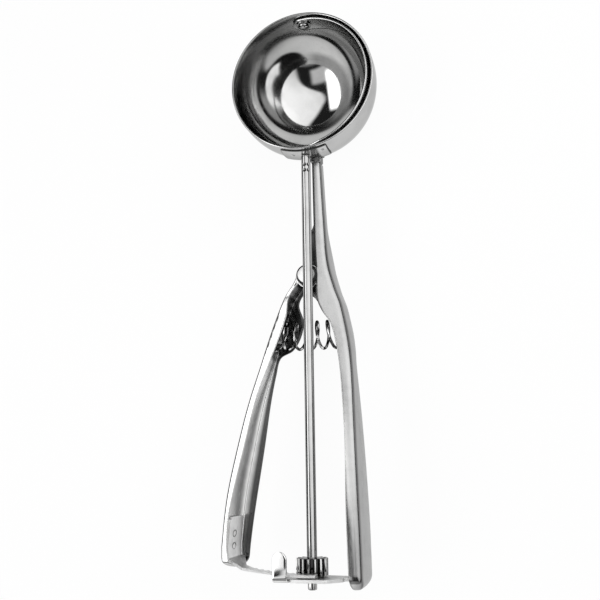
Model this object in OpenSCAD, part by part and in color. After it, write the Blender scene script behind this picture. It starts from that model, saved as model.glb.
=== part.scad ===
// Lever ice cream scoop with a sweeping scraper, driven by a rack and pinion.
//
// The origin is the centre of the bowl's sphere, on the axis of the shaft and scraper.
// +Y runs along that axis from the handles to the nose of the bowl, +Z points out of the
// bowl's mouth, and +X points to the fixed handle. The scoop lies on its back.

/* [Bowl] */
// Outer diameter of the bowl
bowl_d = 60; // [56:1:64]
// Thickness of the bowl's sheet
bowl_wall = 0.9; // [0.7:0.1:1.2]
// Height of the straight lip in front of the scraper's axis
lip_h = 6.3; // [4:0.1:8]

/* [Scraper] */
// Width of the scraper blade
blade_w = 9; // [7:0.5:11]
// Thickness of the scraper blade
blade_t = 0.7; // [0.5:0.1:1]
// Gap between the blade and the inside of the bowl
blade_gap = 0.35; // [0.3:0.05:0.6]
// Angle of the resting blade, out of the mouth of the bowl
blade_turn = 7.3; // [0:0.1:12]
// Diameter of the eye at the top of the blade
eye_d = 8.6; // [7:0.1:10]
// Diameter of the pad at the foot of the blade
foot_d = 6.4; // [5:0.1:8]
// Diameter of the stem that joins the blade to the shaft
stem_d = 2.4; // [2:0.1:2.8]
// Length of the stem inside the shaft
stem_grip = 12; // [8:1:20]

/* [Blade pivot] */
// Diameter of the pivot rivet's shank
pivot_d = 2.2; // [1.8:0.1:2.6]
// Diameter of the pivot rivet's heads
pivot_head_d = 4.4; // [3.8:0.1:5]
// Height of the pivot rivet's heads
pivot_head_h = 1.1; // [0.8:0.1:1.6]
// Height of the pivot rivet's head outside the bowl
pivot_nose_h = 1.9; // [1:0.1:2.2]
// Outer diameter of the washer under the inner head
pivot_washer_d = 6; // [5:0.1:7]
// Thickness of that washer
pivot_washer_t = 0.4; // [0.3:0.05:0.6]

/* [Shaft] */
// Diameter of the shaft
shaft_d = 3.8; // [3.4:0.1:4.2]
// Length of the shaft's free end below the bracket
shaft_tail = 3.6; // [2:0.1:6]
// Diameter of the shaft's free end
tail_d = 3.4; // [3.2:0.1:3.4]
// Diameter of the staking dimples near the top of the shaft
dimple_d = 0.8; // [0.6:0.1:1]

/* [Hinge] */
// Distance from the centre of the bowl to the hinge
hinge_drop = 80; // [76:1:84]
// Distance from the shaft's axis to the hinge, sideways
hinge_side = 1.4; // [0.5:0.1:2.5]
// Diameter of the hinge rivet's shank
rivet_d = 4; // [3.6:0.1:4.4]
// Diameter of the hinge rivet's head
rivet_head_d = 8.8; // [7.6:0.1:9]
// Height of the hinge rivet's domed head
rivet_head_h = 1.7; // [1.2:0.1:1.9]
// Radius of the ears of the fixed handle
handle_ear_r = 4; // [3.6:0.1:4.4]
// Radius of the ears of the lever
lever_ear_r = 5; // [4.3:0.1:5]
// Thickness of the hinge washers
hinge_washer_t = 0.4; // [0.3:0.05:0.5]
// Outer diameter of the hinge washers
hinge_washer_d = 7; // [6:0.2:7.4]
// Thickness of the burr under the rivet's rear end
burr_t = 0.8; // [0.5:0.1:1.2]
// Outer diameter of the burr
burr_d = 7.6; // [6.8:0.2:8.4]
// Diameter of the rivet's rear head
rivet_tail_d = 5.6; // [5:0.2:6.4]
// Height of the rivet's rear head
rivet_tail_h = 0.8; // [0.6:0.1:1.2]
// Outer diameter of the tube that keeps the lever's ears apart
spacer_d = 6; // [5.2:0.2:7]

/* [Handles] */
// Thickness of the handles' sheet
sheet_t = 1; // [0.8:0.1:1.2]
// Depth of the handles from front to back at the hinge
hinge_depth = 15; // [14:0.5:16]
// Depth of the handles from front to back at the grip
grip_depth = 22; // [18:0.5:24]
// Depth of the fixed handle at its waist, below the spring
waist_depth = 10.5; // [9:0.5:15]
// Distance from the shaft's axis back to the front face of the handles at the hinge
hinge_setback = 4.2; // [4:0.1:5]
// Distance from the shaft's axis forward to the front face of the grips
grip_forward = 4; // [3:0.1:4.2]
// Distance from the shaft's axis out to the back of the fixed grip
grip_out = 19.4; // [17:0.1:22]
// Distance from the shaft's axis out to the back of the open lever
lever_out = 34.6; // [33:0.1:36]
// Depth of the neck from front to back
neck_depth = 7; // [6:0.5:9]
// Distance from the handle's front face back to the neck's at the bowl
neck_setback = 0.2; // [0:0.1:0.6]
// Width of the neck where it meets the bowl
neck_w = 3.4; // [3:0.1:4.2]
// Height of the rounded end of the fixed grip, in side view
grip_end_r = 5.5; // [5:0.5:8]
// Height of the rounded end of the lever, in side view
lever_end_r = 3; // [2:0.5:6]
// Distance from the bracket down to the end of the fixed grip
grip_end_drop = 4.1; // [3.6:0.1:6]
// Distance from the rack up to the end of the lever
lever_end_rise = 1.2; // [0.8:0.1:2]
// Radius of the corner between the back and the end of a grip
grip_corner_r = 4.2; // [3.6:0.2:4.6]

/* [Rack and pinion] */
// Number of teeth on the pinion
pinion_teeth = 14; // [12:1:16]
// Size of a tooth, as pitch diameter over number of teeth
tooth_module = 0.75; // [0.7:0.01:0.8]
// Height of the pinion along the shaft
pinion_h = 6.2; // [5:0.1:9]
// Distance from the hinge to the middle of the rack's plate
rack_radius = 114.2; // [110:0.1:118]
// Thickness of the rack's plate
rack_t = 1; // [0.8:0.1:1.2]
// Width of the rack's plate behind its teeth
rack_w = 3.8; // [3:0.1:5]
// Number of teeth on the rack
rack_teeth = 10; // [9:1:11]
// Width of the rack's foot inside the lever
rack_foot_w = 15; // [10:0.5:16]
// Height of the rack's foot inside the lever
rack_foot_h = 16.4; // [12:0.1:18]
// Length over which the rack's plate widens towards its foot
rack_sweep = 15; // [12:0.5:18]
// Width of the plate's narrow end at the foot
rack_heel_w = 3.6; // [3:0.1:5]
// Radius of the corners of the rack's foot
rack_foot_corner = 2.5; // [1.5:0.1:3.5]
// Backlash between rack and pinion
backlash = 0.24; // [0.2:0.02:0.3]

/* [End bracket] */
// Thickness of the bracket's plate
bracket_t = 1.2; // [1:0.1:1.5]
// Distance from the rack down to the bracket's plate
bracket_drop = 0.6; // [0.5:0.1:1.4]
// Reach of the bracket to the left of the shaft
bracket_left = 12.2; // [11:0.1:13.5]
// Width of the upturned guide tab
tab_w = 5.5; // [5:0.1:7]
// Height of the guide tab above the plate
tab_h = 10.8; // [8:0.1:12]
// Outer radius of the bend between plate and tab
tab_bend = 2.4; // [2:0.1:2.8]
// Width of the relief notch beside the tab
relief_w = 0.8; // [0.6:0.1:1.2]
// Reach of the plate behind the shaft
bracket_rear = 4.5; // [4:0.1:7]
// Height of the bracket's foot inside the fixed handle
tongue_h = 9; // [6:0.5:12]
// Width of the bracket's foot from front to back
tongue_w = 6; // [5:0.5:11]
// Thickness of the washer between bracket and pinion
shaft_washer_t = 0.3; // [0.2:0.05:0.5]

/* [Spring] */
// Outer diameter of the return spring
spring_d = 12; // [11:0.1:12.2]
// Diameter of the spring's wire
wire_d = 1.1; // [0.9:0.1:1.3]
// Number of turns of the spring
spring_turns = 6; // [5:1:7]
// Distance from the hinge down to the spring's axis
spring_drop = 23.5; // [23:0.1:25]
// Distance from the lever's inner wall to the centre of the spring's end turn
spring_gap_left = 0.56; // [0.4:0.02:1.2]
// Distance from the fixed handle's inner wall to the centre of the spring's end turn
spring_gap_right = 1.28; // [1.1:0.02:1.8]
// Slope of the spring's last turn at the lever, and at the fixed handle
spring_lean_left = 0.3; // [0.2:0.05:0.3]
spring_lean_right = 0.18; // [0:0.02:0.3]
// Diameter of the bosses inside the spring's ends
boss_d = 7; // [5:0.5:8]
// Length of the bosses inside the spring's ends
boss_h = 1.6; // [1:0.2:3]

/* [Saddle strap] */
// Thickness of the strap
strap_t = 0.8; // [0.6:0.1:1.2]
// Length of the strap round the bowl
strap_w = 19.2; // [16:0.1:24]
// Reach of the strap in front of the shaft
strap_front = 4.5; // [3.5:0.1:5.5]
// Reach of the strap behind the shaft
strap_rear = 6.5; // [5:0.1:8]
// Height of the collar between strap and neck
collar_h = 1.6; // [1.2:0.1:2.4]
// Lip of the collar round the neck
collar_lip = 0.5; // [0.3:0.1:0.8]
// Lip of the strap round the collar
collar_seat_lip = 0.6; // [0.3:0.1:1]
// Distance from the strap's ends in to the middle of the spot welds
weld_inset = 3.1; // [2.4:0.1:4]
// Distance from the shaft's axis back to the spot welds
weld_setback = 3.6; // [2:0.1:5]
// Diameter of the dimples of the spot welds
weld_d = 1; // [0.8:0.1:1.4]
// Depth of the dimples of the spot welds
weld_depth = 0.3; // [0.2:0.05:0.4]

/* [Hidden] */
$fn = 96;

// Clearances: a seat between fixed pieces, and a running fit all round a pin
seat_gap = 0.05;
run_gap = 0.06;
// Overshoot of a cut past the face that it opens
cut = 1;

bowl_r = bowl_d / 2;
bowl_inner_r = bowl_r - bowl_wall;
blade_r = bowl_inner_r - blade_gap;
blade_inner_r = blade_r - blade_t;
shaft_r = shaft_d / 2;
strap_inner_r = bowl_r + seat_gap;
strap_r = strap_inner_r + strap_t;
shaft_top = -strap_r - seat_gap;

// Hinge: the pin's axis, and the stack of ears along it from front to back
hinge_x = -hinge_side;
hinge_y = -hinge_drop;
handle_front = -hinge_setback;
handle_back = handle_front - hinge_depth;
ear_gap = hinge_washer_t + 2 * run_gap;
lever_front = handle_front - sheet_t - ear_gap;
lever_back = handle_back + sheet_t + ear_gap;
spring_z = (handle_front + handle_back) / 2;
spring_y = hinge_y - spring_drop;

// Rack and pinion
pitch_r = pinion_teeth * tooth_module / 2;
tooth_pitch = PI * tooth_module;
pressure_angle = 20;
base_r = pitch_r * cos(pressure_angle);
pinion_tip_r = pitch_r + 0.93 * tooth_module;
pinion_root_r = pitch_r - 1.2 * tooth_module;
rack_tip_z = pitch_r - 0.77 * tooth_module;
rack_root_z = pitch_r + 1.2 * tooth_module;
rack_front = rack_root_z + rack_w;
rack_inner_r = rack_radius - rack_t / 2;
rack_outer_r = rack_radius + rack_t / 2;
rack_y = hinge_y - rack_radius;
rack_step = tooth_pitch / rack_radius * 180 / PI;
rack_phase = asin(hinge_side / rack_radius);

// Levels along the shaft near its lower end
bracket_top = rack_y - rack_t / 2 - bracket_drop;
pinion_low = bracket_top + shaft_washer_t + 2 * run_gap;
pinion_high = pinion_low + pinion_h;
bracket_low = bracket_top - bracket_t;
shaft_end = bracket_low - shaft_tail;
tab_gap = 0.3;
tab_front = rack_front + tab_gap + bracket_t;
grip_end = bracket_low - grip_end_drop;
lever_end = rack_y + lever_end_rise;

// Grips: their side view, front to back
grip_front = grip_forward;
grip_back = grip_front - grip_depth;
grip_mid = (grip_front + grip_back) / 2;
waist_back = handle_front - waist_depth;
neck_top = -strap_r - collar_h;
neck_front = handle_front - neck_setback;
neck_back = neck_front - neck_depth;
neck_left = hinge_side;
neck_right = neck_left + neck_w;

// ---- curves ----

// The direction of a line through knots at knot i, shorter where the line turns
function heading(k, i) =
    let (a = k[max(i - 1, 0)], b = k[i], c = k[min(i + 1, len(k) - 1)])
    (c - a) / (norm(c - b) + norm(b - a));

function between(k, i, t) =
    let (s = 1 - t)
    s * s * (1 + 2 * t) * k[i] + t * t * (3 - 2 * t) * k[i + 1]
        + s * t * norm(k[i + 1] - k[i]) * (s * heading(k, i) - t * heading(k, i + 1));

// A smooth line through knots, with n steps between each two
function smooth(k, n = 4) = [
    for (i = [0 : len(k) - 2]) for (j = [0 : n - 1]) between(k, i, j / n),
    k[len(k) - 1]
];

function run(p, i) = p[min(i + 1, len(p) - 1)] - p[max(i - 1, 0)];

// The same line, moved sideways to its left by d
function beside(p, d) = [
    for (i = [0 : len(p) - 1]) p[i] + d * [-run(p, i)[1], run(p, i)[0]] / norm(run(p, i))
];

function polar(r, a) = [r * cos(a), r * sin(a)];

function arc(centre, r, from, to) = [
    for (k = [0 : 6]) centre + polar(r, from + (to - from) * k / 6)
];

function reversed(p) = [for (i = [len(p) - 1 : -1 : 0]) p[i]];

// The rounded end of a grip in side view, from its front face to its back, of height r, inset by d
function grip_round(end_y, r, d) = [
    for (a = [0 : 15 : 180])
        [end_y + r - (r - d) * sin(a), grip_mid + (grip_depth / 2 - d) * cos(a)]
];

// ---- shared shapes ----

module rod_y(low, high, d) {
    translate([0, low, 0])
        rotate([-90, 0, 0])
            cylinder(h = high - low, d = d);
}

module rod_x(low, high, d) {
    translate([low, 0, 0])
        rotate([0, 90, 0])
            cylinder(h = high - low, d = d);
}

// A round piece on the hinge's axis
module on_hinge(low, high, d) {
    translate([hinge_x, hinge_y, low])
        cylinder(h = high - low, d = d);
}

module ball_shell(inner_r, outer_r) {
    difference() {
        sphere(outer_r);
        sphere(inner_r);
    }
}

// A flat outline in front view, between two heights
module front_view(low, high) {
    translate([0, 0, low])
        linear_extrude(high - low)
            children();
}

// A flat outline in side view (Y, Z), over the whole width
module side_view() {
    rotate([90, 0, 90])
        linear_extrude(2 * bowl_d, center = true)
            children();
}

// A domed rivet head on the plane z = 0
module dome(d, h) {
    ball_r = (d * d / 4 + h * h) / (2 * h);
    intersection() {
        translate([0, 0, h - ball_r])
            sphere(ball_r);
        cylinder(h = h + cut, d = d);
    }
}

// ---- bowl ----

// A half ball with a straight lip, open upwards
module half_ball(inner_r, outer_r, lip) {
    rotate_extrude() {
        intersection() {
            difference() {
                circle(outer_r);
                circle(inner_r);
            }
            translate([0, -outer_r])
                square([outer_r, outer_r]);
        }
        translate([inner_r, 0])
            square([outer_r - inner_r, lip]);
    }
}

module bowl() {
    color("gainsboro")
        difference() {
            half_ball(bowl_inner_r, bowl_r, lip_h);
            rod_y(bowl_inner_r - cut, bowl_r + cut, pivot_d);
            rod_y(-bowl_r - cut, -bowl_inner_r + cut, stem_d + 2 * run_gap);
        }
}

// The strap's outline, and the tab under the collar
module strap_plate() {
    lip = collar_lip + collar_seat_lip;
    tab_left = -stem_d / 2;
    translate([-strap_w / 2, -strap_r - cut, -strap_rear])
        cube([strap_w, bowl_r / 2, strap_front + strap_rear]);
    translate([tab_left, -strap_r - cut, neck_back - lip])
        cube([neck_right + lip - tab_left, bowl_r / 2, lip - neck_back]);
}

module saddle_strap() {
    weld_x = strap_w / 2 - weld_inset;
    weld_y = sqrt(strap_r ^ 2 - weld_x ^ 2 - weld_setback ^ 2);
    color("silver")
        difference() {
            intersection() {
                half_ball(strap_inner_r, strap_r, lip_h);
                strap_plate();
            }
            rod_y(-strap_r - cut, -bowl_r + cut, stem_d + 2 * run_gap);
            for (side = [-1, 1])
                translate([side * weld_x, weld_depth - weld_y - weld_d / 2, -weld_setback])
                    sphere(d = weld_d);
        }
}

module neck_collar() {
    wide = neck_w + 2 * collar_lip;
    deep = neck_depth + 2 * collar_lip;
    color("silver")
        difference() {
            translate([neck_left - collar_lip, neck_top, neck_back - collar_lip])
                cube([wide, strap_r + neck_top / 2, deep]);
            sphere(strap_r + seat_gap);
        }
}

// ---- fixed handle ----

// A level below the hinge, as a share of the distance down to the rack
function down(share) = hinge_y - share * rack_radius;

// The back of the fixed handle in front view, from the neck down, inset by d
function handle_outer(d) = concat(beside(smooth([
    [neck_right, neck_top],
    [1.25 * neck_right, (neck_top + hinge_y) / 2],
    [1.5 * neck_right, down(-0.053)],
    [0.507 * grip_out, down(0.044)],
    [0.644 * grip_out, down(0.114)],
    [0.814 * grip_out, down(0.28)],
    [0.918 * grip_out, down(0.578)],
    [0.985 * grip_out, down(0.832)],
    [grip_out, grip_end + 2 * grip_corner_r]
]), -d), arc([grip_out - grip_corner_r, grip_end + grip_corner_r], grip_corner_r - d, 0, -95));

// The free edge of both its flanges, from the end up to the spring
function handle_low_edge() = [
    [0.737 * grip_out, grip_end + 1.55 * grip_corner_r],
    [0.722 * grip_out, down(0.832)],
    [0.706 * grip_out, down(0.578)],
    [0.608 * grip_out, down(0.359)],
    [0.521 * grip_out, down(0.254)]
];

// The free edge of the front flange, and of the rear flange with its wide ear
function handle_front_edge() = smooth(concat(handle_low_edge(), [
    [0.402 * grip_out, down(0.175)],
    [0.232 * grip_out, down(0.131)],
    [0.124 * grip_out, down(0.083)],
    [0.124 * grip_out, down(0)],
    [0.093 * grip_out, down(-0.123)],
    [neck_left, neck_top]
]));

function handle_rear_edge() = smooth(concat(handle_low_edge(), [
    [0.37 * grip_out, down(0.175)],
    [0.19 * grip_out, down(0.131)],
    [-0.077 * grip_out, down(0.061)],
    [-0.155 * grip_out, down(0.049)],
    [-0.216 * grip_out, down(0.036)],
    [-0.216 * grip_out, down(-0.08)],
    [-0.12 * grip_out, down(-0.15)],
    [0.02 * grip_out, down(-0.21)],
    [0.6 * neck_left, down(-0.28)],
    [neck_left, neck_top]
]));

// The front and back faces in side view, from the neck down, inset by d
function handle_front_line(d) = smooth([
    [neck_top + d, neck_front - d],
    [down(-0.123), handle_front - d],
    [down(-0.05), handle_front - d],
    [down(0.05), handle_front - d],
    [down(0.175), handle_front - d],
    [down(0.333), handle_front + 0.2 * (grip_front - handle_front) - d],
    [down(0.525), handle_front + 0.65 * (grip_front - handle_front) - d],
    [down(0.744), grip_front - d],
    [grip_end + grip_end_r, grip_front - d]
]);

function handle_back_line(d) = smooth([
    [grip_end + grip_end_r, grip_back + d],
    [down(0.744), grip_back + d],
    [down(0.525), grip_back + 0.25 * (waist_back - grip_back) + d],
    [down(0.33), waist_back + d],
    [down(0.255), handle_back + 0.4 * (waist_back - handle_back) + d],
    [down(0.2), handle_back + d],
    [down(0.17), handle_back + d],
    [down(0.06), handle_back + d],
    [down(-0.036), handle_back + d],
    [down(-0.05), handle_back + d],
    [down(-0.08), handle_back + 0.08 * hinge_depth + d],
    [down(-0.166), neck_back - 0.14 * neck_depth + d],
    [(neck_top + hinge_y) / 2, neck_back - 0.06 * neck_depth + d],
    [neck_top + d, neck_back + d]
]);

module handle_flange_outline(edge) {
    polygon(concat(handle_outer(0), edge));
    translate([hinge_x, hinge_y])
        circle(handle_ear_r);
    translate([hinge_x, hinge_y - handle_ear_r])
        square([neck_right / 2 - hinge_x, 2 * handle_ear_r]);
}

module handle_hollow_outline() {
    inner = handle_outer(sheet_t);
    last = inner[len(inner) - 1];
    polygon(concat([[inner[0][0], neck_top + cut]], inner, [[-bowl_r, last[1]], [-bowl_r, neck_top + cut]]));
}

module handle_side_outline(d) {
    polygon(concat(handle_front_line(d), grip_round(grip_end, grip_end_r, d), handle_back_line(d)));
}

module fixed_handle() {
    color("lightgray")
        difference() {
            intersection() {
                union() {
                    front_view(spring_z, grip_front + cut)
                        handle_flange_outline(handle_front_edge());
                    front_view(handle_back - cut, spring_z)
                        handle_flange_outline(handle_rear_edge());
                }
                side_view()
                    handle_side_outline(0);
            }
            intersection() {
                front_view(handle_back - cut, grip_front + cut)
                    handle_hollow_outline();
                side_view()
                    handle_side_outline(sheet_t);
            }
            on_hinge(handle_back - cut, handle_front + cut, rivet_d + 2 * seat_gap);
        }
}

module end_bracket() {
    foot_gap = 0.7;
    chamfer = 5;
    cut_off = 4;
    tongue_front = grip_front - sheet_t - foot_gap;
    tongue_back = tongue_front - tongue_w;
    tongue_right = grip_out - sheet_t - seat_gap - foot_gap;
    plate_front = tab_front - 2;
    plate_right = tongue_right - 5.15;
    tab_right = tab_w - bracket_left;
    plate = [
        [-bracket_left, tab_front - tab_bend],
        [tab_right, tab_front - tab_bend],
        [tab_right, plate_front],
        [plate_right - chamfer, plate_front],
        [plate_right, plate_front - chamfer],
        [plate_right, tongue_front],
        [tongue_right, tongue_front],
        [tongue_right, tongue_back],
        [plate_right, tongue_back],
        [shaft_r, -bracket_rear],
        [cut_off - bracket_left, -bracket_rear],
        [-bracket_left, cut_off - bracket_rear]
    ];
    color("silver")
        difference() {
            union() {
                translate([0, bracket_top, 0])
                    rotate([90, 0, 0])
                        linear_extrude(bracket_t)
                            polygon(plate);
                guide_tab();
                translate([tongue_right - bracket_t, bracket_low, tongue_back])
                    cube([bracket_t, tongue_h, tongue_front - tongue_back]);
            }
            rod_y(bracket_low - cut, bracket_top + cut, shaft_d + 2 * run_gap);
            translate([tab_right, bracket_low - cut, tab_front - tab_bend - relief_w])
                cube([relief_w, tab_h, tab_bend + relief_w]);
        }
}

// The upturned tab in front of the rack: a bend, then a plate with a round top
module guide_tab() {
    face = tab_front - bracket_t;
    round_r = tab_w / 2;
    translate([-bracket_left, bracket_low + tab_bend, tab_front - tab_bend])
        rotate([0, 90, 0])
            rotate([0, 0, 180])
                rotate_extrude(angle = 90)
                    translate([tab_bend - bracket_t, 0])
                        square([bracket_t, tab_w]);
    translate([-bracket_left, bracket_low + tab_bend, face])
        cube([tab_w, tab_h - tab_bend - round_r, bracket_t]);
    translate([round_r - bracket_left, bracket_low + tab_h - round_r, face])
        cylinder(h = bracket_t, r = round_r);
}

// ---- hinge ----

module hinge_rivet() {
    color("silver") {
        on_hinge(
            handle_back - burr_t - rivet_tail_h / 2,
            handle_front + rivet_head_h / 2,
            rivet_d
        );
        translate([hinge_x, hinge_y, handle_front])
            dome(rivet_head_d, rivet_head_h);
        translate([hinge_x, hinge_y, handle_back - burr_t])
            mirror([0, 0, 1])
                dome(rivet_tail_d, rivet_tail_h);
    }
}

module hinge_burr() {
    color("darkgray")
        difference() {
            on_hinge(handle_back - burr_t, handle_back, burr_d);
            on_hinge(handle_back - burr_t - cut, handle_back + cut, rivet_d + 2 * seat_gap);
        }
}

module hinge_spacer() {
    low = lever_back + sheet_t + run_gap;
    high = lever_front - sheet_t - run_gap;
    color("darkgray")
        difference() {
            on_hinge(low, high, spacer_d);
            on_hinge(low - cut, high + cut, rivet_d + 2 * seat_gap);
        }
}

module hinge_washers() {
    color("darkgray")
        for (low = [handle_back + sheet_t + run_gap, lever_front + run_gap])
            difference() {
                on_hinge(low, low + hinge_washer_t, hinge_washer_d);
                on_hinge(low - cut, low + cut, rivet_d + 2 * seat_gap);
            }
}

// ---- lever ----

// The back of the lever in front view, from the hinge down, inset by d
function lever_outer(d) = concat(beside(smooth([
    [-0.162 * lever_out, down(-0.018)],
    [-0.223 * lever_out, down(0.023)],
    [-0.335 * lever_out, down(0.074)],
    [-0.468 * lever_out, down(0.179)],
    [-0.587 * lever_out, down(0.294)],
    [-0.72 * lever_out, down(0.433)],
    [-0.838 * lever_out, down(0.595)],
    [-0.942 * lever_out, down(0.762)],
    [-lever_out, lever_end + 2 * grip_corner_r]
]), d), arc([grip_corner_r - lever_out, lever_end + grip_corner_r], grip_corner_r - d, 180, 275));

// The free edge of the front flange, from the end up to the hinge
function lever_front_edge() = smooth([
    [-0.907 * lever_out, lever_end + 0.62 * grip_corner_r],
    [-0.928 * lever_out, lever_end + 1.9 * grip_corner_r],
    [-0.902 * lever_out, down(0.814)],
    [-0.75 * lever_out, down(0.595)],
    [-0.635 * lever_out, down(0.433)],
    [-0.48 * lever_out, down(0.294)],
    [-0.37 * lever_out, down(0.21)],
    [-0.3 * lever_out, down(0.14)],
    [-0.277 * lever_out, down(0.075)],
    [-0.168 * lever_out, down(0.028)],
    [hinge_x, hinge_y]
]);

// The free edge of the rear flange, with the ear round the spring
function lever_rear_edge() = smooth([
    [-0.873 * lever_out, lever_end + 0.62 * grip_corner_r],
    [-0.858 * lever_out, lever_end + 1.9 * grip_corner_r],
    [-0.809 * lever_out, down(0.814)],
    [-0.69 * lever_out, down(0.595)],
    [-0.61 * lever_out, down(0.433)],
    [-0.543 * lever_out, down(0.333)],
    [-0.486 * lever_out, down(0.275)],
    [-0.332 * lever_out, down(0.249)],
    [-0.231 * lever_out, down(0.201)],
    [-0.191 * lever_out, down(0.144)],
    [-0.237 * lever_out, down(0.083)],
    [-0.139 * lever_out, down(0.03)],
    [hinge_x, hinge_y]
]);

function lever_front_line(d) = smooth([
    [down(-0.105), lever_front - d],
    [down(0.045), lever_front - d],
    [down(0.07), lever_front - d],
    [down(0.184), handle_front - d],
    [down(0.333), handle_front + 0.2 * (grip_front - handle_front) - d],
    [down(0.525), handle_front + 0.65 * (grip_front - handle_front) - d],
    [down(0.744), grip_front - d],
    [lever_end + lever_end_r, grip_front - d]
]);

function lever_back_line(d) = smooth([
    [lever_end + lever_end_r, grip_back + d],
    [down(0.744), grip_back + 0.25 * (handle_back - grip_back) + d],
    [down(0.525), grip_back + 0.65 * (handle_back - grip_back) + d],
    [down(0.333), handle_back + d],
    [down(0.184), handle_back + d],
    [down(0.07), lever_back + d],
    [down(0.045), lever_back + d],
    [down(-0.105), lever_back + d]
]);

module lever_flange_outline(edge) {
    polygon(concat(lever_outer(0), edge));
    translate([hinge_x, hinge_y])
        circle(lever_ear_r);
}

module lever_hollow_outline() {
    inner = lever_outer(sheet_t);
    last = inner[len(inner) - 1];
    first = inner[0];
    top = hinge_y + 2 * lever_ear_r;
    polygon(concat([[first[0], top]], inner, [[bowl_r, last[1]], [bowl_r, top]]));
}

module lever_side_outline(d) {
    polygon(concat(lever_front_line(d), grip_round(lever_end, lever_end_r, d), lever_back_line(d)));
}

module lever() {
    color("lightgray")
        difference() {
            intersection() {
                union() {
                    front_view(spring_z, grip_front + cut)
                        lever_flange_outline(lever_front_edge());
                    front_view(handle_back - cut, spring_z)
                        lever_flange_outline(lever_rear_edge());
                }
                side_view()
                    lever_side_outline(0);
            }
            intersection() {
                front_view(handle_back - cut, grip_front + cut)
                    lever_hollow_outline();
                side_view()
                    lever_side_outline(sheet_t);
            }
            on_hinge(handle_back - cut, handle_front + cut, rivet_d + 2 * run_gap);
        }
}

// ---- rack ----

// One tooth, pointing back at the pinion
module rack_tooth() {
    half = tooth_pitch / 4 - backlash / 4;
    base_z = rack_root_z + seat_gap;
    base_half = half + tan(pressure_angle) * (base_z - pitch_r);
    tip_half = half - tan(pressure_angle) * (pitch_r - rack_tip_z);
    translate([0, rack_t, 0])
        rotate([90, 0, 0])
            linear_extrude(2 * rack_t)
                polygon([
                    [-base_half, base_z],
                    [base_half, base_z],
                    [tip_half, rack_tip_z],
                    [-tip_half, rack_tip_z]
                ]);
}

module rack() {
    inner = lever_outer(sheet_t + seat_gap);
    rack_right = hinge_x + rack_radius * sin(rack_phase + 1.5 * rack_step);
    foot_low = rack_y + 3.6;
    foot_back = grip_mid - rack_foot_w / 2 + 0.5;
    plate_low = rack_y - 2 * rack_t;
    plate_h = 8 * rack_t;
    plate_left = -lever_out;
    heel_front = grip_front - sheet_t - 4 * seat_gap;
    plate = [
        [plate_left, foot_back],
        [plate_left + rack_heel_w, foot_back],
        [plate_left + 2 * rack_sweep / 3, heel_front],
        [plate_left + rack_sweep, rack_root_z],
        [rack_right, rack_root_z],
        [rack_right, rack_front],
        [plate_left + rack_heel_w + rack_front - heel_front, rack_front],
        [plate_left + rack_heel_w, heel_front],
        [plate_left, heel_front]
    ];
    color("silver")
        difference() {
            union() {
                intersection() {
                    difference() {
                        translate([hinge_x, hinge_y, foot_back])
                            cylinder(h = rack_front - foot_back, r = rack_outer_r, $fn = 360);
                        translate([hinge_x, hinge_y, foot_back - cut])
                            cylinder(h = rack_front - foot_back + 2 * cut, r = rack_inner_r, $fn = 360);
                    }
                    union() {
                        translate([0, plate_low + plate_h, 0])
                            rotate([90, 0, 0])
                                linear_extrude(plate_h)
                                    polygon(plate);
                        for (i = [0 : rack_teeth - 1])
                            translate([hinge_x, hinge_y, 0])
                                rotate([0, 0, rack_phase + (0.5 - i) * rack_step])
                                    translate([0, -rack_radius, 0])
                                        rack_tooth();
                    }
                    front_view(foot_back - cut, rack_front + cut)
                        rack_reach(inner);
                }
                intersection() {
                    front_view(foot_back, foot_back + rack_foot_w)
                        rack_foot_outline(inner);
                    translate([-lever_out, 0, 0])
                        rotate([90, 0, 90])
                            linear_extrude(lever_out)
                                rack_foot_face(foot_low, foot_back);
                }
            }
        }
}

// Everything to the right of the lever's inner face
module rack_reach(inner) {
    polygon(concat(inner, [[bowl_r, rack_y - 4], [bowl_r, hinge_y]]));
}

module rack_foot_outline(inner) {
    polygon(concat(inner, reversed(beside(inner, rack_t))));
}

// The foot's plate in side view, with round upper corners
module rack_foot_face(low, back) {
    corner = rack_foot_corner;
    translate([low, back])
        square([rack_foot_h - corner, rack_foot_w]);
    translate([low, back + corner])
        square([rack_foot_h, rack_foot_w - 2 * corner]);
    for (z = [back + corner, back + rack_foot_w - corner])
        translate([low + rack_foot_h - corner, z])
            circle(corner);
}

// ---- spring ----

// Where a wall's line crosses the spring's level
function wall_at_spring(line) = lookup(spring_y, [for (p = line) [p[1], p[0]]]);

// The spring's ends beside the shaft's axis, to a tenth of a millimetre
spring_left = round(10 * (-wall_at_spring(lever_outer(sheet_t)) - spring_gap_left)) / 10;
spring_right = round(10 * (wall_at_spring(handle_outer(sheet_t)) - spring_gap_right)) / 10;

// The wire's centre after t turns from the foot of the coil at the lever; the end turns lean
// with the walls that they press on
function coil_point(t) =
    let (
        r = (spring_d - wire_d) / 2,
        share = t / spring_turns,
        lean = spring_lean_left * (1 - share) - spring_lean_right * share,
        x = -spring_left + (spring_left + spring_right) * share
    )
    [x - lean * r * cos(360 * t), spring_y - r * cos(360 * t), spring_z - r * sin(360 * t)];

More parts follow.
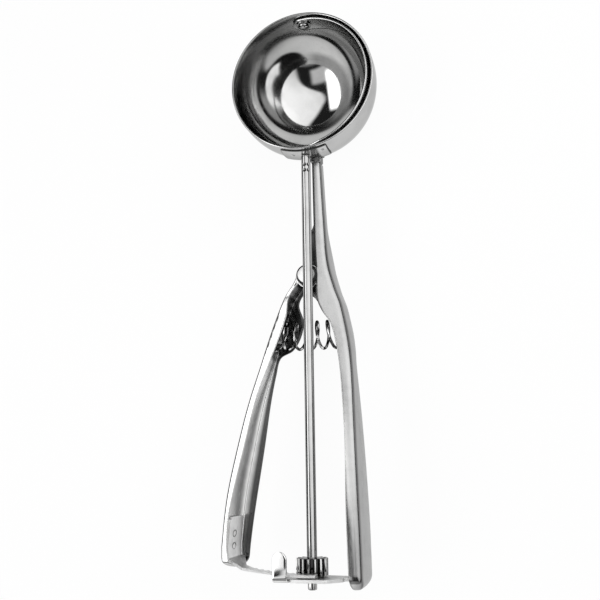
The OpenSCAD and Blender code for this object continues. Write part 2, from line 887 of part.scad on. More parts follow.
module return_spring() {
    sides = 8;
    steps = 20;
    rings = steps * spring_turns;
    path = [for (i = [0 : rings]) coil_point(i / steps)];
    points = [
        for (i = [0 : rings]) for (s = [0 : sides - 1])
            let (
                ahead = run(path, i) / norm(run(path, i)),
                out = [0, path[i][1] - spring_y, path[i][2] - spring_z],
                flat = out - (out * ahead) * ahead,
                u = flat / norm(flat),
                v = cross(ahead, u),
                a = 360 * s / sides
            )
            path[i] + wire_d / 2 * (cos(a) * u + sin(a) * v)
    ];
    walls = [
        for (i = [0 : rings - 1]) for (s = [0 : sides - 1])
            let (n = (s + 1) % sides)
            [i * sides + s, (i + 1) * sides + s, (i + 1) * sides + n, i * sides + n]
    ];
    start = [for (s = [0 : sides - 1]) s];
    end = [for (s = [sides - 1 : -1 : 0]) rings * sides + s];
    color("dimgray")
        polyhedron(points, concat(walls, [start, end]));
}

// A boss inside the coil's end, welded to the wall
module lever_spring_seat() {
    color("gray")
        intersection() {
            translate([0, spring_y, spring_z])
                rod_x(-lever_out, boss_h - spring_left, boss_d);
            front_view(handle_back, handle_front)
                polygon(concat(
                    lever_outer(sheet_t + seat_gap),
                    [[bowl_r, lever_end], [bowl_r, hinge_y]]
                ));
        }
}

module handle_spring_seat() {
    color("gray")
        intersection() {
            translate([0, spring_y, spring_z])
                rod_x(spring_right - boss_h, grip_out, boss_d);
            front_view(handle_back, handle_front)
                polygon(concat(
                    handle_outer(sheet_t + seat_gap),
                    [[-bowl_r, grip_end], [-bowl_r, neck_top]]
                ));
        }
}

// ---- scraper ----

module scraper_blade() {
    color("gainsboro")
        rotate([0, -blade_turn, 0])
            difference() {
                union() {
                    intersection() {
                        ball_shell(blade_inner_r, blade_r);
                        union() {
                            translate([0, -bowl_r, -blade_w / 2])
                                cube([bowl_r, bowl_d, blade_w]);
                            rod_y(blade_r / 2, bowl_r, eye_d);
                            rod_y(-bowl_r, -blade_r / 2, foot_d);
                        }
                    }
                    rod_y(shaft_top - stem_grip, -blade_inner_r - blade_t / 4, stem_d);
                }
                rod_y(blade_r / 2, bowl_r, pivot_d + 2 * run_gap);
            }
}

module blade_pivot_rivet() {
    bulge = blade_inner_r - sqrt(blade_inner_r ^ 2 - (pivot_washer_d / 2) ^ 2);
    tail = blade_inner_r - bulge - pivot_washer_t - 4 * run_gap;
    color("silver") {
        rod_y(tail - pivot_head_h / 2, bowl_r + pivot_head_h / 2, pivot_d);
        translate([0, bowl_r, 0])
            rotate([-90, 0, 0])
                dome(pivot_head_d, pivot_nose_h);
        translate([0, tail, 0])
            rotate([90, 0, 0])
                dome(pivot_head_d, pivot_head_h);
    }
}

module blade_pivot_washer() {
    high = sqrt(blade_inner_r ^ 2 - (pivot_washer_d / 2) ^ 2) - run_gap;
    color("darkgray")
        difference() {
            rod_y(high - pivot_washer_t, high, pivot_washer_d);
            rod_y(high - pivot_washer_t - cut, high + cut, pivot_d + 2 * run_gap);
        }
}

module shaft() {
    dimple_y = shaft_top - shaft_d;
    dimple_side = 0.72 * shaft_r;
    dimple_step = 1.3;
    color("silver")
        difference() {
            union() {
                rod_y(bracket_low, shaft_top, shaft_d);
                rod_y(shaft_end, bracket_low + cut, tail_d);
            }
            rod_y(shaft_top - stem_grip - seat_gap, shaft_top + cut, stem_d + seat_gap);
            for (side = [-1, 1], up = [-1, 1])
                translate([side * dimple_side, dimple_y + up * dimple_step, dimple_side])
                    sphere(d = dimple_d);
        }
}

// An involute flank point at radius r, as an angle from the start of the flank
function involute(r) =
    let (turn = sqrt(max((r / base_r) ^ 2 - 1, 0)))
    turn * 180 / PI - atan(turn);

module pinion_outline() {
    half = (tooth_pitch / 2 - backlash / 2) / pitch_r * 90 / PI;
    flank = [for (k = [0 : 4]) base_r + (pinion_tip_r - base_r) * k / 4];
    polygon([
        for (i = [0 : pinion_teeth - 1])
            let (mid = 90 + 360 * i / pinion_teeth, wide = half + involute(pitch_r))
            each concat(
                [polar(pinion_root_r, mid - wide)],
                [for (r = flank) polar(r, mid - wide + involute(r))],
                [for (r = reversed(flank)) polar(r, mid + wide - involute(r))],
                [polar(pinion_root_r, mid + wide)]
            )
    ]);
}

module pinion() {
    color("darkgray")
        translate([0, pinion_high, 0])
            rotate([90, 0, 0])
                linear_extrude(pinion_h)
                    difference() {
                        pinion_outline();
                        circle(d = shaft_d + seat_gap);
                    }
}

module shaft_washer() {
    low = bracket_top + run_gap;
    color("darkgray")
        difference() {
            rod_y(low, low + shaft_washer_t, 2 * pinion_root_r);
            rod_y(low - cut, low + cut, shaft_d + 2 * run_gap);
        }
}

bowl();
saddle_strap();
neck_collar();
fixed_handle();
end_bracket();
hinge_rivet();
hinge_burr();
hinge_spacer();
hinge_washers();
handle_spring_seat();
blade_pivot_rivet();
lever();
lever_spring_seat();
rack();
return_spring();
scraper_blade();
blade_pivot_washer();
shaft();
pinion();
shaft_washer();
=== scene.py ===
"""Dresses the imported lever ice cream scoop: sheet steel, wire, rivets, gear and studio.

Sizes inside the classes are millimetres in the row frame: +Y runs from the handles to the nose
of the bowl, +Z out of its mouth and +X to the fixed handle. Meshes are written in metres.
"""

from __future__ import annotations

import logging
import math
from dataclasses import dataclass, field
from enum import Enum
from functools import cache, reduce
from itertools import product
from typing import Callable, Sequence

import bmesh
import bpy
import numpy as np
from mathutils import Matrix, Vector


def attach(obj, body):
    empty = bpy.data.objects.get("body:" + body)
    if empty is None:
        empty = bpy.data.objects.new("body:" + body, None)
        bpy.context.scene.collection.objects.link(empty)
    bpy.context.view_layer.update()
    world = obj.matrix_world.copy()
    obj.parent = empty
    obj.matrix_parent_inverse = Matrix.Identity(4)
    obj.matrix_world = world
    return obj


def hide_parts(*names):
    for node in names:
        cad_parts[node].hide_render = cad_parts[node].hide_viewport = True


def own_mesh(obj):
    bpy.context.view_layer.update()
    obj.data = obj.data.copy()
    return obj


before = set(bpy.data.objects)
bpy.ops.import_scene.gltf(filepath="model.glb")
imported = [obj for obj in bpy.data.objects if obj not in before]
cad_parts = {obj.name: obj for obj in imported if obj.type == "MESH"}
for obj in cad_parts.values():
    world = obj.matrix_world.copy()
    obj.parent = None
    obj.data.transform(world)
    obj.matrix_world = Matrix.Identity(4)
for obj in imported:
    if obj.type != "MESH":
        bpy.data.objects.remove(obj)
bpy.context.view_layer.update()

MM = 0.001
WELD = 2e-6  # metres within which points are one
SHARP = 48.0  # degrees over which an edge stays sharp
SINK = 0.02  # how far a piece's hidden face sinks into the sheet that carries it
BREAK = 0.3  # share of an edge's radius at the middle of its rounding
log = logging.getLogger("scoop")

Object = bpy.types.Object
Material = bpy.types.Material
Tree = bpy.types.NodeTree
Node = bpy.types.Node
Socket = bpy.types.NodeSocket
Array = np.ndarray
Knots = Sequence[Sequence[float]]


class Body(Enum):
    """The three rigid bodies that the pieces ride on."""

    FRAME = "frame"
    LEVER = "lever"
    SCRAPER = "scraper"


class Slot(Enum):
    """The record's material slots."""

    POLISHED = "polished_steel"
    HANDLE = "handle_steel"
    SHAFT = "shaft_steel"
    GEAR = "gear_steel"
    RIVET = "rivet_steel"
    SEAT = "seat_steel"
    SPRING = "spring_steel"


class Tone(Enum):
    """The point attributes that the finishes read: painted shade and haze."""

    # painted shade: how far each point's colour is darkened
    SHADE = "shade"
    HAZE = "haze"


class Axis(Enum):
    """The direction of a turned piece."""

    X = "x"
    Y = "y"
    Z = "z"


# ---------------------------------------------------------------- lines


def smooth(knots: Knots, steps: int = 10) -> Array:
    """Draws a smooth line through knots, with the same rule as the solids.

    Args:
        knots: Points of any dimension, in order.
        steps: Steps between each two knots.

    Returns:
        The points of the line, one a row.
    """
    k = np.array(knots, float)
    before, after = np.vstack([k[:1], k[:-1]]), np.vstack([k[1:], k[-1:]])
    reach = np.linalg.norm(after - k, axis=1) + np.linalg.norm(k - before, axis=1)
    heading = (after - before) / reach[:, None]
    t = np.linspace(0, 1, steps, endpoint=False)[:, None]
    s = 1 - t
    parts = []
    for i in range(len(k) - 1):
        length = np.linalg.norm(k[i + 1] - k[i])
        straight = s * s * (1 + 2 * t) * k[i] + t * t * (3 - 2 * t) * k[i + 1]
        parts.append(straight + s * t * length * (s * heading[i] - t * heading[i + 1]))
    return np.vstack([*parts, k[-1:]])


def beside(line: Array, gap: float) -> Array:
    """Moves a flat line sideways to its left.

    Args:
        line: Points (x, y), one a row.
        gap: How far to move it, negative to the right.

    Returns:
        The moved points.
    """
    run = np.vstack([line[1:], line[-1:]]) - np.vstack([line[:1], line[:-1]])
    run /= np.linalg.norm(run, axis=1)[:, None]
    return line + gap * np.column_stack([-run[:, 1], run[:, 0]])


def arc(centre: Sequence[float], radius: float, start: float, end: float, steps: int = 24) -> Array:
    """Returns the points of a circular arc, with its angles in degrees."""
    a = np.radians(np.linspace(start, end, steps + 1))
    return np.column_stack([centre[0] + radius * np.cos(a), centre[1] + radius * np.sin(a)])


def at_level(line: Array, y: Array) -> Array:
    """Returns the first coordinate of a line (value, y) at levels y; its y only rises or falls."""
    order = np.argsort(line[:, 1], kind="stable")
    return np.interp(y, line[order, 1], line[order, 0])


def rise(value: Array, start: float | Array, end: float | Array) -> Array:
    """Returns 0 where a value is at start or before it, 1 from end on, and shares between."""
    return np.clip((value - start) / (end - start), 0, 1)


def peak(value: Array, at: float, reach: float) -> Array:
    """Returns 1 where a value is at the peak, down to 0 at a reach from it on both sides."""
    return np.clip(1 - np.abs(value - at) / reach, 0, 1)


def rounded(profile: Knots, radius: float, steps: int = 4) -> list[tuple[float, float]]:
    """Rounds the inner corners of an open profile.

    Args:
        profile: Points of the profile.
        radius: The radius of each corner, cut down where the sides are short.
        steps: Steps round each corner.

    Returns:
        The points of the rounded profile.
    """
    p = [np.array(q, float) for q in profile]
    out = [tuple(p[0])]
    for before, at, after in zip(p, p[1:], p[2:]):
        sides = [before - at, after - at]
        lengths = [np.linalg.norm(side) for side in sides]
        reach = min(radius, *(0.45 * length for length in lengths))
        start, end = (at + side / length * reach for side, length in zip(sides, lengths))
        for t in np.linspace(0, 1, steps + 1):
            out.append(tuple((1 - t) ** 2 * start + 2 * t * (1 - t) * at + t * t * end))
    return [*out, tuple(p[-1])]


# ---------------------------------------------------------------- meshes


def linked(name: str, data: bpy.types.ID) -> Object:
    """Puts data into the scene as an object at the origin and returns it."""
    piece = bpy.data.objects.new(name, data)
    bpy.context.scene.collection.objects.link(piece)
    return piece


def written(name: str, bm: bmesh.types.BMesh, sharp: float = SHARP) -> Object:
    """Writes a bmesh as a smooth-shaded mesh object and frees it.

    Args:
        name: The piece's name.
        bm: Its mesh, in metres.
        sharp: Edges over this angle in degrees stay sharp.

    Returns:
        The object, at the origin.
    """
    mesh = bpy.data.meshes.new(name)
    bm.to_mesh(mesh)
    bm.free()
    mesh.shade_smooth()
    mesh.set_sharp_from_angle(angle=math.radians(sharp))
    return linked(name, mesh)


def shell(points: Knots | Array, faces: Sequence[Sequence[int]]) -> bmesh.types.BMesh:
    """Makes a closed shell with its doubles merged and its faces pointing outwards.

    Args:
        points: Its points in millimetres.
        faces: Its faces, as indices of points.

    Returns:
        The shell, in metres.
    """
    draft = bpy.data.meshes.new("draft")
    corners = [tuple(p) for p in np.asarray(points, float) * MM]
    draft.from_pydata(corners, [], [list(f) for f in faces])
    bm = bmesh.new()
    bm.from_mesh(draft)
    bpy.data.meshes.remove(draft)
    bmesh.ops.remove_doubles(bm, verts=bm.verts, dist=WELD)
    bmesh.ops.dissolve_degenerate(bm, edges=bm.edges, dist=WELD / 2)
    bmesh.ops.recalc_face_normals(bm, faces=bm.faces)
    return bm


def join(name: str, parts: Sequence[Object]) -> Object:
    """Joins mesh objects at the origin, which are used up, into one piece and returns it."""
    bm = bmesh.new()
    for part in parts:
        bm.from_mesh(part.data)
        bpy.data.objects.remove(part)
    return written(name, bm)


def break_edges(bm: bmesh.types.BMesh, angle: float, size: float, clamp: bool) -> None:
    """Bevels the edges that turn by more than an angle.

    Args:
        bm: The mesh.
        angle: The angle in radians.
        size: Width of the bevel, in the mesh's units.
        clamp: True to keep bevels from passing each other.
    """
    sharp = [e for e in bm.edges if len(e.link_faces) == 2 and e.calc_face_angle() > angle]
    bmesh.ops.bevel(
        bm, geom=sharp, offset=size, segments=3, affect="EDGES", clamp_overlap=clamp
    )


def ring_faces(rows: int, count: int, closed: bool = False) -> list[tuple[int, ...]]:
    """Returns the faces of a tube.

    Args:
        rows: How many rings of points it has.
        count: Points in each ring.
        closed: True if the last ring joins the first.

    Returns:
        Four-sided faces, as indices of points.
    """
    return [
        (i * count + j, i * count + k, (i + 1) % rows * count + k, (i + 1) % rows * count + j)
        for i in range(rows if closed else rows - 1)
        for j, k in ((j, (j + 1) % count) for j in range(count))
    ]


def lathe(
    name: str,
    profile: Knots,
    axis: Axis,
    centre: Sequence[float] = (0, 0),
    segments: int = 64,
    ring: bool = False,
) -> Object:
    """Turns a profile round an axis.

    Args:
        name: The piece's name.
        profile: Points (radius, level along the axis).
        axis: The axis it is turned about.
        centre: The axis's place: (y, z) for X, (x, z) for Y and (x, y) for Z.
        segments: Steps round the axis.
        ring: True if the profile closes on itself, without poles.

    Returns:
        The turned object.
    """
    a = np.linspace(0, 2 * np.pi, segments, endpoint=False)
    points = []
    for radius, level in profile:
        one, two = centre[0] + radius * np.cos(a), centre[1] + radius * np.sin(a)
        row = [one, two]
        row.insert("xyz".index(axis.value), np.full(segments, float(level)))
        points.append(np.column_stack(row))
    return written(name, shell(np.vstack(points), ring_faces(len(profile), segments, ring)))


def plate(
    name: str, outline: Knots, hole: Sequence[float], low: float, high: float, edge: float
) -> Object:
    """Cuts a flat plate with one round hole and broken edges.

    Args:
        name: The piece's name.
        outline: Its outline's points (x, z), in order.
        hole: The hole's x, z and radius.
        low: Level y of its lower face.
        high: Level y of its upper face.
        edge: How far its edges are broken.

    Returns:
        The plate.
    """
    bm = bmesh.new()
    loops = []
    for ring in (outline, arc(hole[:2], hole[2], 0, 360, 48)[:-1]):
        verts = [bm.verts.new((x, low, z)) for x, z in ring]
        loops += [bm.edges.new((a, b)) for a, b in zip(verts, verts[1:] + verts[:1])]
    bmesh.ops.triangle_fill(bm, edges=loops, use_beauty=True)
    bm.verts.index_update()
    base = [tuple(v.co) for v in bm.verts]
    flat = [[v.index for v in f.verts] for f in bm.faces]
    sides = [[v.index for v in e.verts] for e in loops]
    bm.free()
    n = len(base)
    faces = flat + [[i + n for i in f[::-1]] for f in flat]
    faces += [[a, b, b + n, a + n] for a, b in sides]
    bm = shell(base + [(x, high, z) for x, _, z in base], faces)
    break_edges(bm, 1.2, edge * MM, True)
    return written(name, bm, 40)


def strip(
    name: str,
    half: Array,
    thick: float,
    edge: float,
    steps: int,
    at: Callable[[Array, float], Array],
) -> Object:
    """Makes a strip of sheet with broken edges.

    Args:
        name: The piece's name.
        half: Half its width at each of its rows.
        thick: Its thickness.
        edge: How far its edges are broken.
        steps: Points across each face.
        at: Gives the points, one a row, at offsets across and a depth below the outer face.

    Returns:
        The strip.
    """
    cut = BREAK * edge
    flat = [(share, edge if abs(share) == 1 else 0) for share in np.linspace(-1, 1, steps)]
    rim = [(cut, cut), (0, edge), (0, thick - edge), (cut, thick - cut)]
    section = [(share, inset, 0) for share, inset in flat]
    section += [(1, inset, depth) for inset, depth in rim]
    section += [(share, inset, thick) for share, inset in flat[::-1]]
    section += [(-1, inset, depth) for inset, depth in rim[::-1]]
    columns = [
        at(share * half - np.sign(share) * np.minimum(inset, 0.4 * half), depth)
        for share, inset, depth in section
    ]
    count, rows = len(columns), len(half)
    faces = ring_faces(rows, count)
    faces += [tuple(range(count)), tuple(range((rows - 1) * count, rows * count))]
    return written(name, shell(np.stack(columns, axis=1).reshape(-1, 3), faces))


# ---------------------------------------------------------------- node trees


class Sockets:
    """Names of the inputs and outputs of the node groups."""

    STRETCH = "Stretch"
    SCALE = "Scale"
    WIDTH = "Width"
    GRAIN = "Grain"
    MASK = "Mask"
    NORMAL = "Normal"
    GEOMETRY = "Geometry"
    RADIUS = "Radius"
    SIDES = "Sides"
    OVAL = "Oval"
    TURN = "Turn"


class Kind(Enum):
    """The types of the groups' sockets."""

    FLOAT = "NodeSocketFloat"
    INT = "NodeSocketInt"
    VECTOR = "NodeSocketVector"
    GEOMETRY = "NodeSocketGeometry"


@dataclass
class Nodes:
    """Adds linked nodes to one tree."""

    tree: Tree

    def feed(self, node: Node, inputs: dict[str | int, object]) -> None:
        """Sets a node's inputs.

        Args:
            node: The node.
            inputs: For each input's name or place, a value or the socket that feeds it.
        """
        for label, value in inputs.items():
            if isinstance(value, Socket):
                self.tree.links.new(value, node.inputs[label])
            else:
                node.inputs[label].default_value = value

    def add(
        self, kind: str, inputs: dict[str | int, object] | None = None, **settings: object
    ) -> Node:
        """Adds a node.

        Args:
            kind: The node's type.
            inputs: For each input's name or place, a value or the socket that feeds it.
            settings: The node's own settings.

        Returns:
            The node.
        """
        node = self.tree.nodes.new(kind)
        for label, value in settings.items():
            setattr(node, label, value)
        self.feed(node, inputs or {})
        return node

    def math(self, kind: str, *values: object) -> Socket:
        """Adds a Math node on sockets or numbers and returns what it gives."""
        return self.add("ShaderNodeMath", dict(enumerate(values)), operation=kind).outputs[0]

    def times(self, *values: object) -> Socket:
        """Multiplies sockets and numbers and returns the product."""
        return reduce(lambda a, b: self.math("MULTIPLY", a, b), values)

    def plus(self, *values: object) -> Socket:
        """Adds up sockets and numbers and returns the sum."""
        return reduce(lambda a, b: self.math("ADD", a, b), values)

    def mix(self, share: Socket, one: object, two: object) -> Socket:
        """Mixes two colours by a share of the second and returns the mixture."""
        made = self.add("ShaderNodeMix", {"Factor": share, "A": one, "B": two}, data_type="RGBA")
        return made.outputs["Result"]

    def ramp(
        self,
        value: Socket,
        low: float,
        high: float,
        start: float = 0.0,
        end: float = 1.0,
        soft: bool = True,
    ) -> Socket:
        """Adds a step of a value.

        Args:
            value: The value.
            low: Where the step starts.
            high: Where it ends.
            start: What it gives up to low.
            end: What it gives from high on.
            soft: False for a straight step.

        Returns:
            The step's result.
        """
        inputs = {"Value": value, "From Min": low, "From Max": high, "To Min": start, "To Max": end}
        kind = "SMOOTHSTEP" if soft else "LINEAR"
        return self.add("ShaderNodeMapRange", inputs, interpolation_type=kind).outputs["Result"]


def group(
    name: str, tree: str, inputs: dict[str, tuple[Kind, object]], outputs: dict[str, Kind]
) -> tuple[Nodes, Node, Node]:
    """Makes a node group with named sockets.

    Args:
        name: The group's name.
        tree: The type of its tree.
        inputs: Type and default of each input; None for no default.
        outputs: Type of each output.

    Returns:
        Its nodes, its input node and its output node.
    """
    nodes = Nodes(bpy.data.node_groups.new(name, tree))
    new_socket = nodes.tree.interface.new_socket
    for label, (kind, value) in inputs.items():
        made = new_socket(label, in_out="INPUT", socket_type=kind.value)
        if value is not None:
            made.default_value = value
    for label, kind in outputs.items():
        new_socket(label, in_out="OUTPUT", socket_type=kind.value)
    return nodes, nodes.add("NodeGroupInput"), nodes.add("NodeGroupOutput")


def shape_group(name: str, inputs: dict[str, Kind]) -> tuple[Nodes, Node, Node]:
    """Makes a geometry node group.

    Args:
        name: The group's name.
        inputs: Type of each input besides the geometry.

    Returns:
        Its nodes, its input node and its output node.
    """
    kinds = {Sockets.GEOMETRY: Kind.GEOMETRY, **inputs}
    return group(
        name, "GeometryNodeTree", {label: (kind, None) for label, kind in kinds.items()},
        {Sockets.GEOMETRY: Kind.GEOMETRY},
    )


def swept(nodes: Nodes, path: Socket, radius: object, sides: object, caps: bool) -> Socket:
    """Sweeps a circle along a curve.

    Args:
        nodes: The tree's nodes.
        path: The curve.
        radius: The circle's radius, a socket or a number.
        sides: The number of its sides, a socket or a number.
        caps: True to close the ends.

    Returns:
        The swept mesh.
    """
    ring = nodes.add("GeometryNodeCurvePrimitiveCircle", {"Radius": radius, "Resolution": sides})
    inputs = {"Curve": path, "Profile Curve": ring.outputs["Curve"], "Fill Caps": caps}
    return nodes.add("GeometryNodeCurveToMesh", inputs).outputs["Mesh"]


def close_tree(nodes: Nodes, result: Node, shape: Socket, material: Material) -> None:
    """Ends a geometry tree: real instances, smooth faces and their material.

    Args:
        nodes: The tree's nodes.
        result: Its output node.
        shape: The geometry to put out.
        material: The material it gets.
    """
    for kind in ("GeometryNodeRealizeInstances", "GeometryNodeSetShadeSmooth"):
        shape = nodes.add(kind, {"Geometry": shape}).outputs["Geometry"]
    paint = nodes.add("GeometryNodeSetMaterial", {"Geometry": shape, "Material": material})
    nodes.feed(result, {Sockets.GEOMETRY: paint.outputs["Geometry"]})


def baked(
    name: str, points: Array, edges: Sequence[tuple[int, int]], tree: Tree,
    values: dict[str, object],
) -> Object:
    """Runs a node tree once on points and edges and keeps the result as a plain mesh.

    Args:
        name: The piece's name.
        points: The points in millimetres.
        edges: Pairs of indices of points.
        tree: The node tree.
        values: A value for each named input.

    Returns:
        The plain mesh object.
    """
    draft = bpy.data.meshes.new("carrier")
    draft.from_pydata([tuple(p) for p in points * MM], list(edges), [])
    carrier = linked("carrier", draft)
    modifier = carrier.modifiers.new("nodes", "NODES")
    modifier.node_group = tree
    names = {i.name: i.identifier for i in tree.interface.items_tree if i.in_out == "INPUT"}
    for label, value in values.items():
        modifier[names[label]] = value
    bpy.context.view_layer.update()
    evaluated = carrier.evaluated_get(bpy.context.evaluated_depsgraph_get())
    mesh = bpy.data.meshes.new_from_object(evaluated)
    mesh.name = name
    bpy.data.objects.remove(carrier)
    return linked(name, mesh)


# ---------------------------------------------------------------- finishes


@cache
def grain_group() -> Tree:
    """Returns the group that draws fine polishing lines, stretched along one direction."""
    inputs = {Sockets.STRETCH: (Kind.VECTOR, (1, 1, 1)), Sockets.SCALE: (Kind.FLOAT, 1.0)}
    nodes, given, result = group(
        "polish_grain", "ShaderNodeTree", inputs, {Sockets.GRAIN: Kind.FLOAT}
    )
    spot = nodes.add("ShaderNodeTexCoord").outputs["Object"]
    stretch = nodes.add(
        "ShaderNodeVectorMath", {0: spot, 1: given.outputs[Sockets.STRETCH]}, operation="MULTIPLY"
    )
    noise = nodes.add("ShaderNodeTexNoise", {
        "Vector": stretch.outputs[0], "Scale": given.outputs[Sockets.SCALE],
        "Detail": 3, "Roughness": 0.65,
    })
    nodes.feed(result, {Sockets.GRAIN: noise.outputs["Fac"]})
    return nodes.tree


@cache
def film_group() -> Tree:
    """Returns the group that draws the soft, uneven film left by wiping and handling."""
    nodes, given, result = group(
        "wiping_film", "ShaderNodeTree",
        {Sockets.SCALE: (Kind.FLOAT, 1.0)}, {Sockets.MASK: Kind.FLOAT},
    )
    spot = nodes.add("ShaderNodeTexCoord").outputs["Object"]
    scale = given.outputs[Sockets.SCALE]
    noises = [
        nodes.add("ShaderNodeTexNoise", {"Vector": spot, "Scale": size, "Detail": detail})
        for size, detail in ((scale, 2), (nodes.times(scale, 4.5), 5))
    ]
    both = nodes.times(*(noise.outputs["Fac"] for noise in noises))
    nodes.feed(result, {Sockets.MASK: nodes.ramp(both, 0.16, 0.42)})
    return nodes.tree


@cache
def edge_group() -> Tree:
    """Returns the group that finds edges: a mask along them, and a normal that rounds them."""
    nodes, given, result = group(
        "broken_edge", "ShaderNodeTree", {Sockets.WIDTH: (Kind.FLOAT, 0.0003)},
        {Sockets.MASK: Kind.FLOAT, Sockets.NORMAL: Kind.VECTOR},
    )
    bevel = nodes.add("ShaderNodeBevel", {"Radius": given.outputs[Sockets.WIDTH]}, samples=6)
    soft = bevel.outputs["Normal"]
    true = nodes.add("ShaderNodeNewGeometry").outputs["Normal"]
    dot = nodes.add("ShaderNodeVectorMath", {0: soft, 1: true}, operation="DOT_PRODUCT")
    mask = nodes.ramp(dot.outputs["Value"], 0.999, 0.9, soft=False)
    nodes.feed(result, {Sockets.MASK: mask, Sockets.NORMAL: soft})
    return nodes.tree


@dataclass(frozen=True)
class SteelFinish:
    """A stainless steel finish: tint, gloss, polishing lines, wiping film, worn edges and painted
    shade.

    Attributes:
        name: The material's name.
        tint: Colour of clean metal, linear.
        film_tint: Colour under the wiping film, linear.
        gloss: Roughness of clean metal and under the film.
        grain_stretch: How close the polishing lines are along x, y and z.
        grain_share: How much the lines change the roughness.
        grain_depth: Depth of the lines in metres.
        film_scale: Size of the film's patches, as a noise scale.
        edge_width: Radius in metres over which edges catch the light.
        rim: How bright it stays at a grazing angle.
        worn: How much brighter its edges are.
        painted_shade_tint: Colour that painted shade darkens towards, linear.
    """

    name: str
    tint: tuple[float, float, float]
    film_tint: tuple[float, float, float]
    gloss: tuple[float, float]
    grain_stretch: tuple[float, float, float]
    grain_share: float
    grain_depth: float
    film_scale: float
    edge_width: float
    rim: float = 0.7
    worn: float = 1.25
    painted_shade_tint: tuple[float, float, float] = (0.015, 0.015, 0.015)

    @cache
    def material(self) -> Material:
        """Builds the material once and returns it."""
        made = bpy.data.materials.new(self.name)
        made.use_nodes = True
        nodes = Nodes(made.node_tree)
        grain, film, edge = (
            nodes.add("ShaderNodeGroup", node_tree=tree)
            for tree in (grain_group(), film_group(), edge_group())
        )
        nodes.feed(grain, {Sockets.STRETCH: self.grain_stretch, Sockets.SCALE: 1.0})
        nodes.feed(film, {Sockets.SCALE: self.film_scale})
        nodes.feed(edge, {Sockets.WIDTH: self.edge_width})
        covered, lines = film.outputs[Sockets.MASK], grain.outputs[Sockets.GRAIN]
        shade, haze = (
            nodes.add("ShaderNodeAttribute", attribute_name=tone_name.value).outputs["Fac"]
            for tone_name in (Tone.SHADE, Tone.HAZE)
        )
        bright = tuple(min(1.0, self.worn * c) for c in self.tint)
        colour = nodes.mix(covered, (*self.tint, 1), (*self.film_tint, 1))
        colour = nodes.mix(edge.outputs[Sockets.MASK], colour, (*bright, 1))
        rough = nodes.times(
            nodes.ramp(covered, 0.0, 1.0, *self.gloss, soft=False),
            nodes.ramp(lines, 0.3, 0.7, 1 - self.grain_share, 1 + self.grain_share, soft=False),
        )
        bump = nodes.add("ShaderNodeBump", {
            "Distance": self.grain_depth, "Strength": 1.0,
            "Height": lines, "Normal": edge.outputs[Sockets.NORMAL],
        })
        nodes.feed(nodes.tree.nodes["Principled BSDF"], {
            "Metallic": 1.0,
            # the shade attribute mixes in painted shade: a darker colour where shade and dark
            # reflections fall
            "Base Color": nodes.mix(shade, colour, (*self.painted_shade_tint, 1)),
            "Specular Tint": (self.rim, self.rim, self.rim, 1),
            "Roughness": nodes.plus(rough, haze),
            "Normal": bump.outputs["Normal"],
        })
        return made


MIRROR = SteelFinish(
    "mirror_steel", (0.54, 0.54, 0.537), (0.49, 0.49, 0.488), (0.05, 0.1),
    (900, 900, 900), 0.08, 1e-7, 40, 0.0002, 0.72,
)
SATIN = SteelFinish(
    "satin_steel", (0.66, 0.66, 0.658), (0.6, 0.6, 0.598), (0.17, 0.22),
    (5200, 160, 5200), 0.2, 6e-7, 55, 0.00022, 0.66,
)
BRIGHT = SteelFinish(
    "bright_steel", (0.95, 0.95, 0.947), (0.87, 0.87, 0.868), (0.14, 0.19),
    (5200, 160, 5200), 0.2, 5e-7, 55, 0.00022, 0.7,
)
STRAP = SteelFinish(
    "strap_steel", (0.62, 0.62, 0.617), (0.55, 0.55, 0.548), (0.16, 0.24),
    (300, 4000, 4000), 0.15, 5e-7, 80, 0.0002, 0.5,
)
PLATE = SteelFinish(
    "plate_steel", (0.85, 0.85, 0.847), (0.76, 0.76, 0.757), (0.06, 0.12),
    (1500, 1500, 1500), 0.15, 4e-7, 90, 0.00015, 0.5,
)
BLANKED = SteelFinish(
    "blanked_steel", (0.8, 0.8, 0.797), (0.68, 0.68, 0.677), (0.34, 0.46),
    (300, 4000, 4000), 0.15, 6e-7, 90, 0.00015, 0.7,
)
DRAWN = SteelFinish(
    "drawn_steel", (0.44, 0.44, 0.438), (0.38, 0.38, 0.378), (0.08, 0.13),
    (6000, 90, 6000), 0.2, 3e-7, 60, 0.00015, 0.5,
)
CUT = SteelFinish(
    "cut_steel", (0.42, 0.42, 0.418), (0.3, 0.3, 0.298), (0.06, 0.14),
    (700, 6000, 700), 0.25, 8e-7, 150, 0.00012, 0.4,
)
# The wire's film is near black in small patches: painted dark reflections along the wire.
WIRE = SteelFinish(
    "wire_steel", (0.95, 0.95, 0.948), (0.03, 0.03, 0.03), (0.04, 0.08),
    (3000, 3000, 3000), 0.15, 3e-7, 520, 0.0001, 0.05,
)
DULL = SteelFinish(
    "dull_steel", (0.3, 0.3, 0.298), (0.2, 0.2, 0.198), (0.3, 0.4),
    (2500, 2500, 2500), 0.2, 1e-6, 120, 0.0002, 0.4,
)


def tone(piece: Object, rule: Callable[[Array], tuple[Array, Array]]) -> Object:
    """Writes where painted shade darkens a piece, and where it is duller.

    Args:
        piece: The piece.
        rule: Takes points in millimetres and returns the shade and the haze of each.

    Returns:
        The piece.
    """
    mesh = piece.data
    points = np.empty(3 * len(mesh.vertices))
    mesh.vertices.foreach_get("co", points)
    for label, values in zip((Tone.SHADE, Tone.HAZE), rule(points.reshape(-1, 3) / MM)):
        layer = mesh.attributes.new(label.value, "FLOAT", "POINT")
        layer.data.foreach_set("value", np.clip(values, 0, 1).astype(np.float32))
    return piece


def dress(piece: Object, finish: SteelFinish) -> Object:
    """Gives a piece one finish.

    Args:
        piece: A CAD node or a made piece.
        finish: Its finish.

    Returns:
        The piece.
    """
    piece.data.materials.clear()
    piece.data.materials.append(finish.material())
    return piece


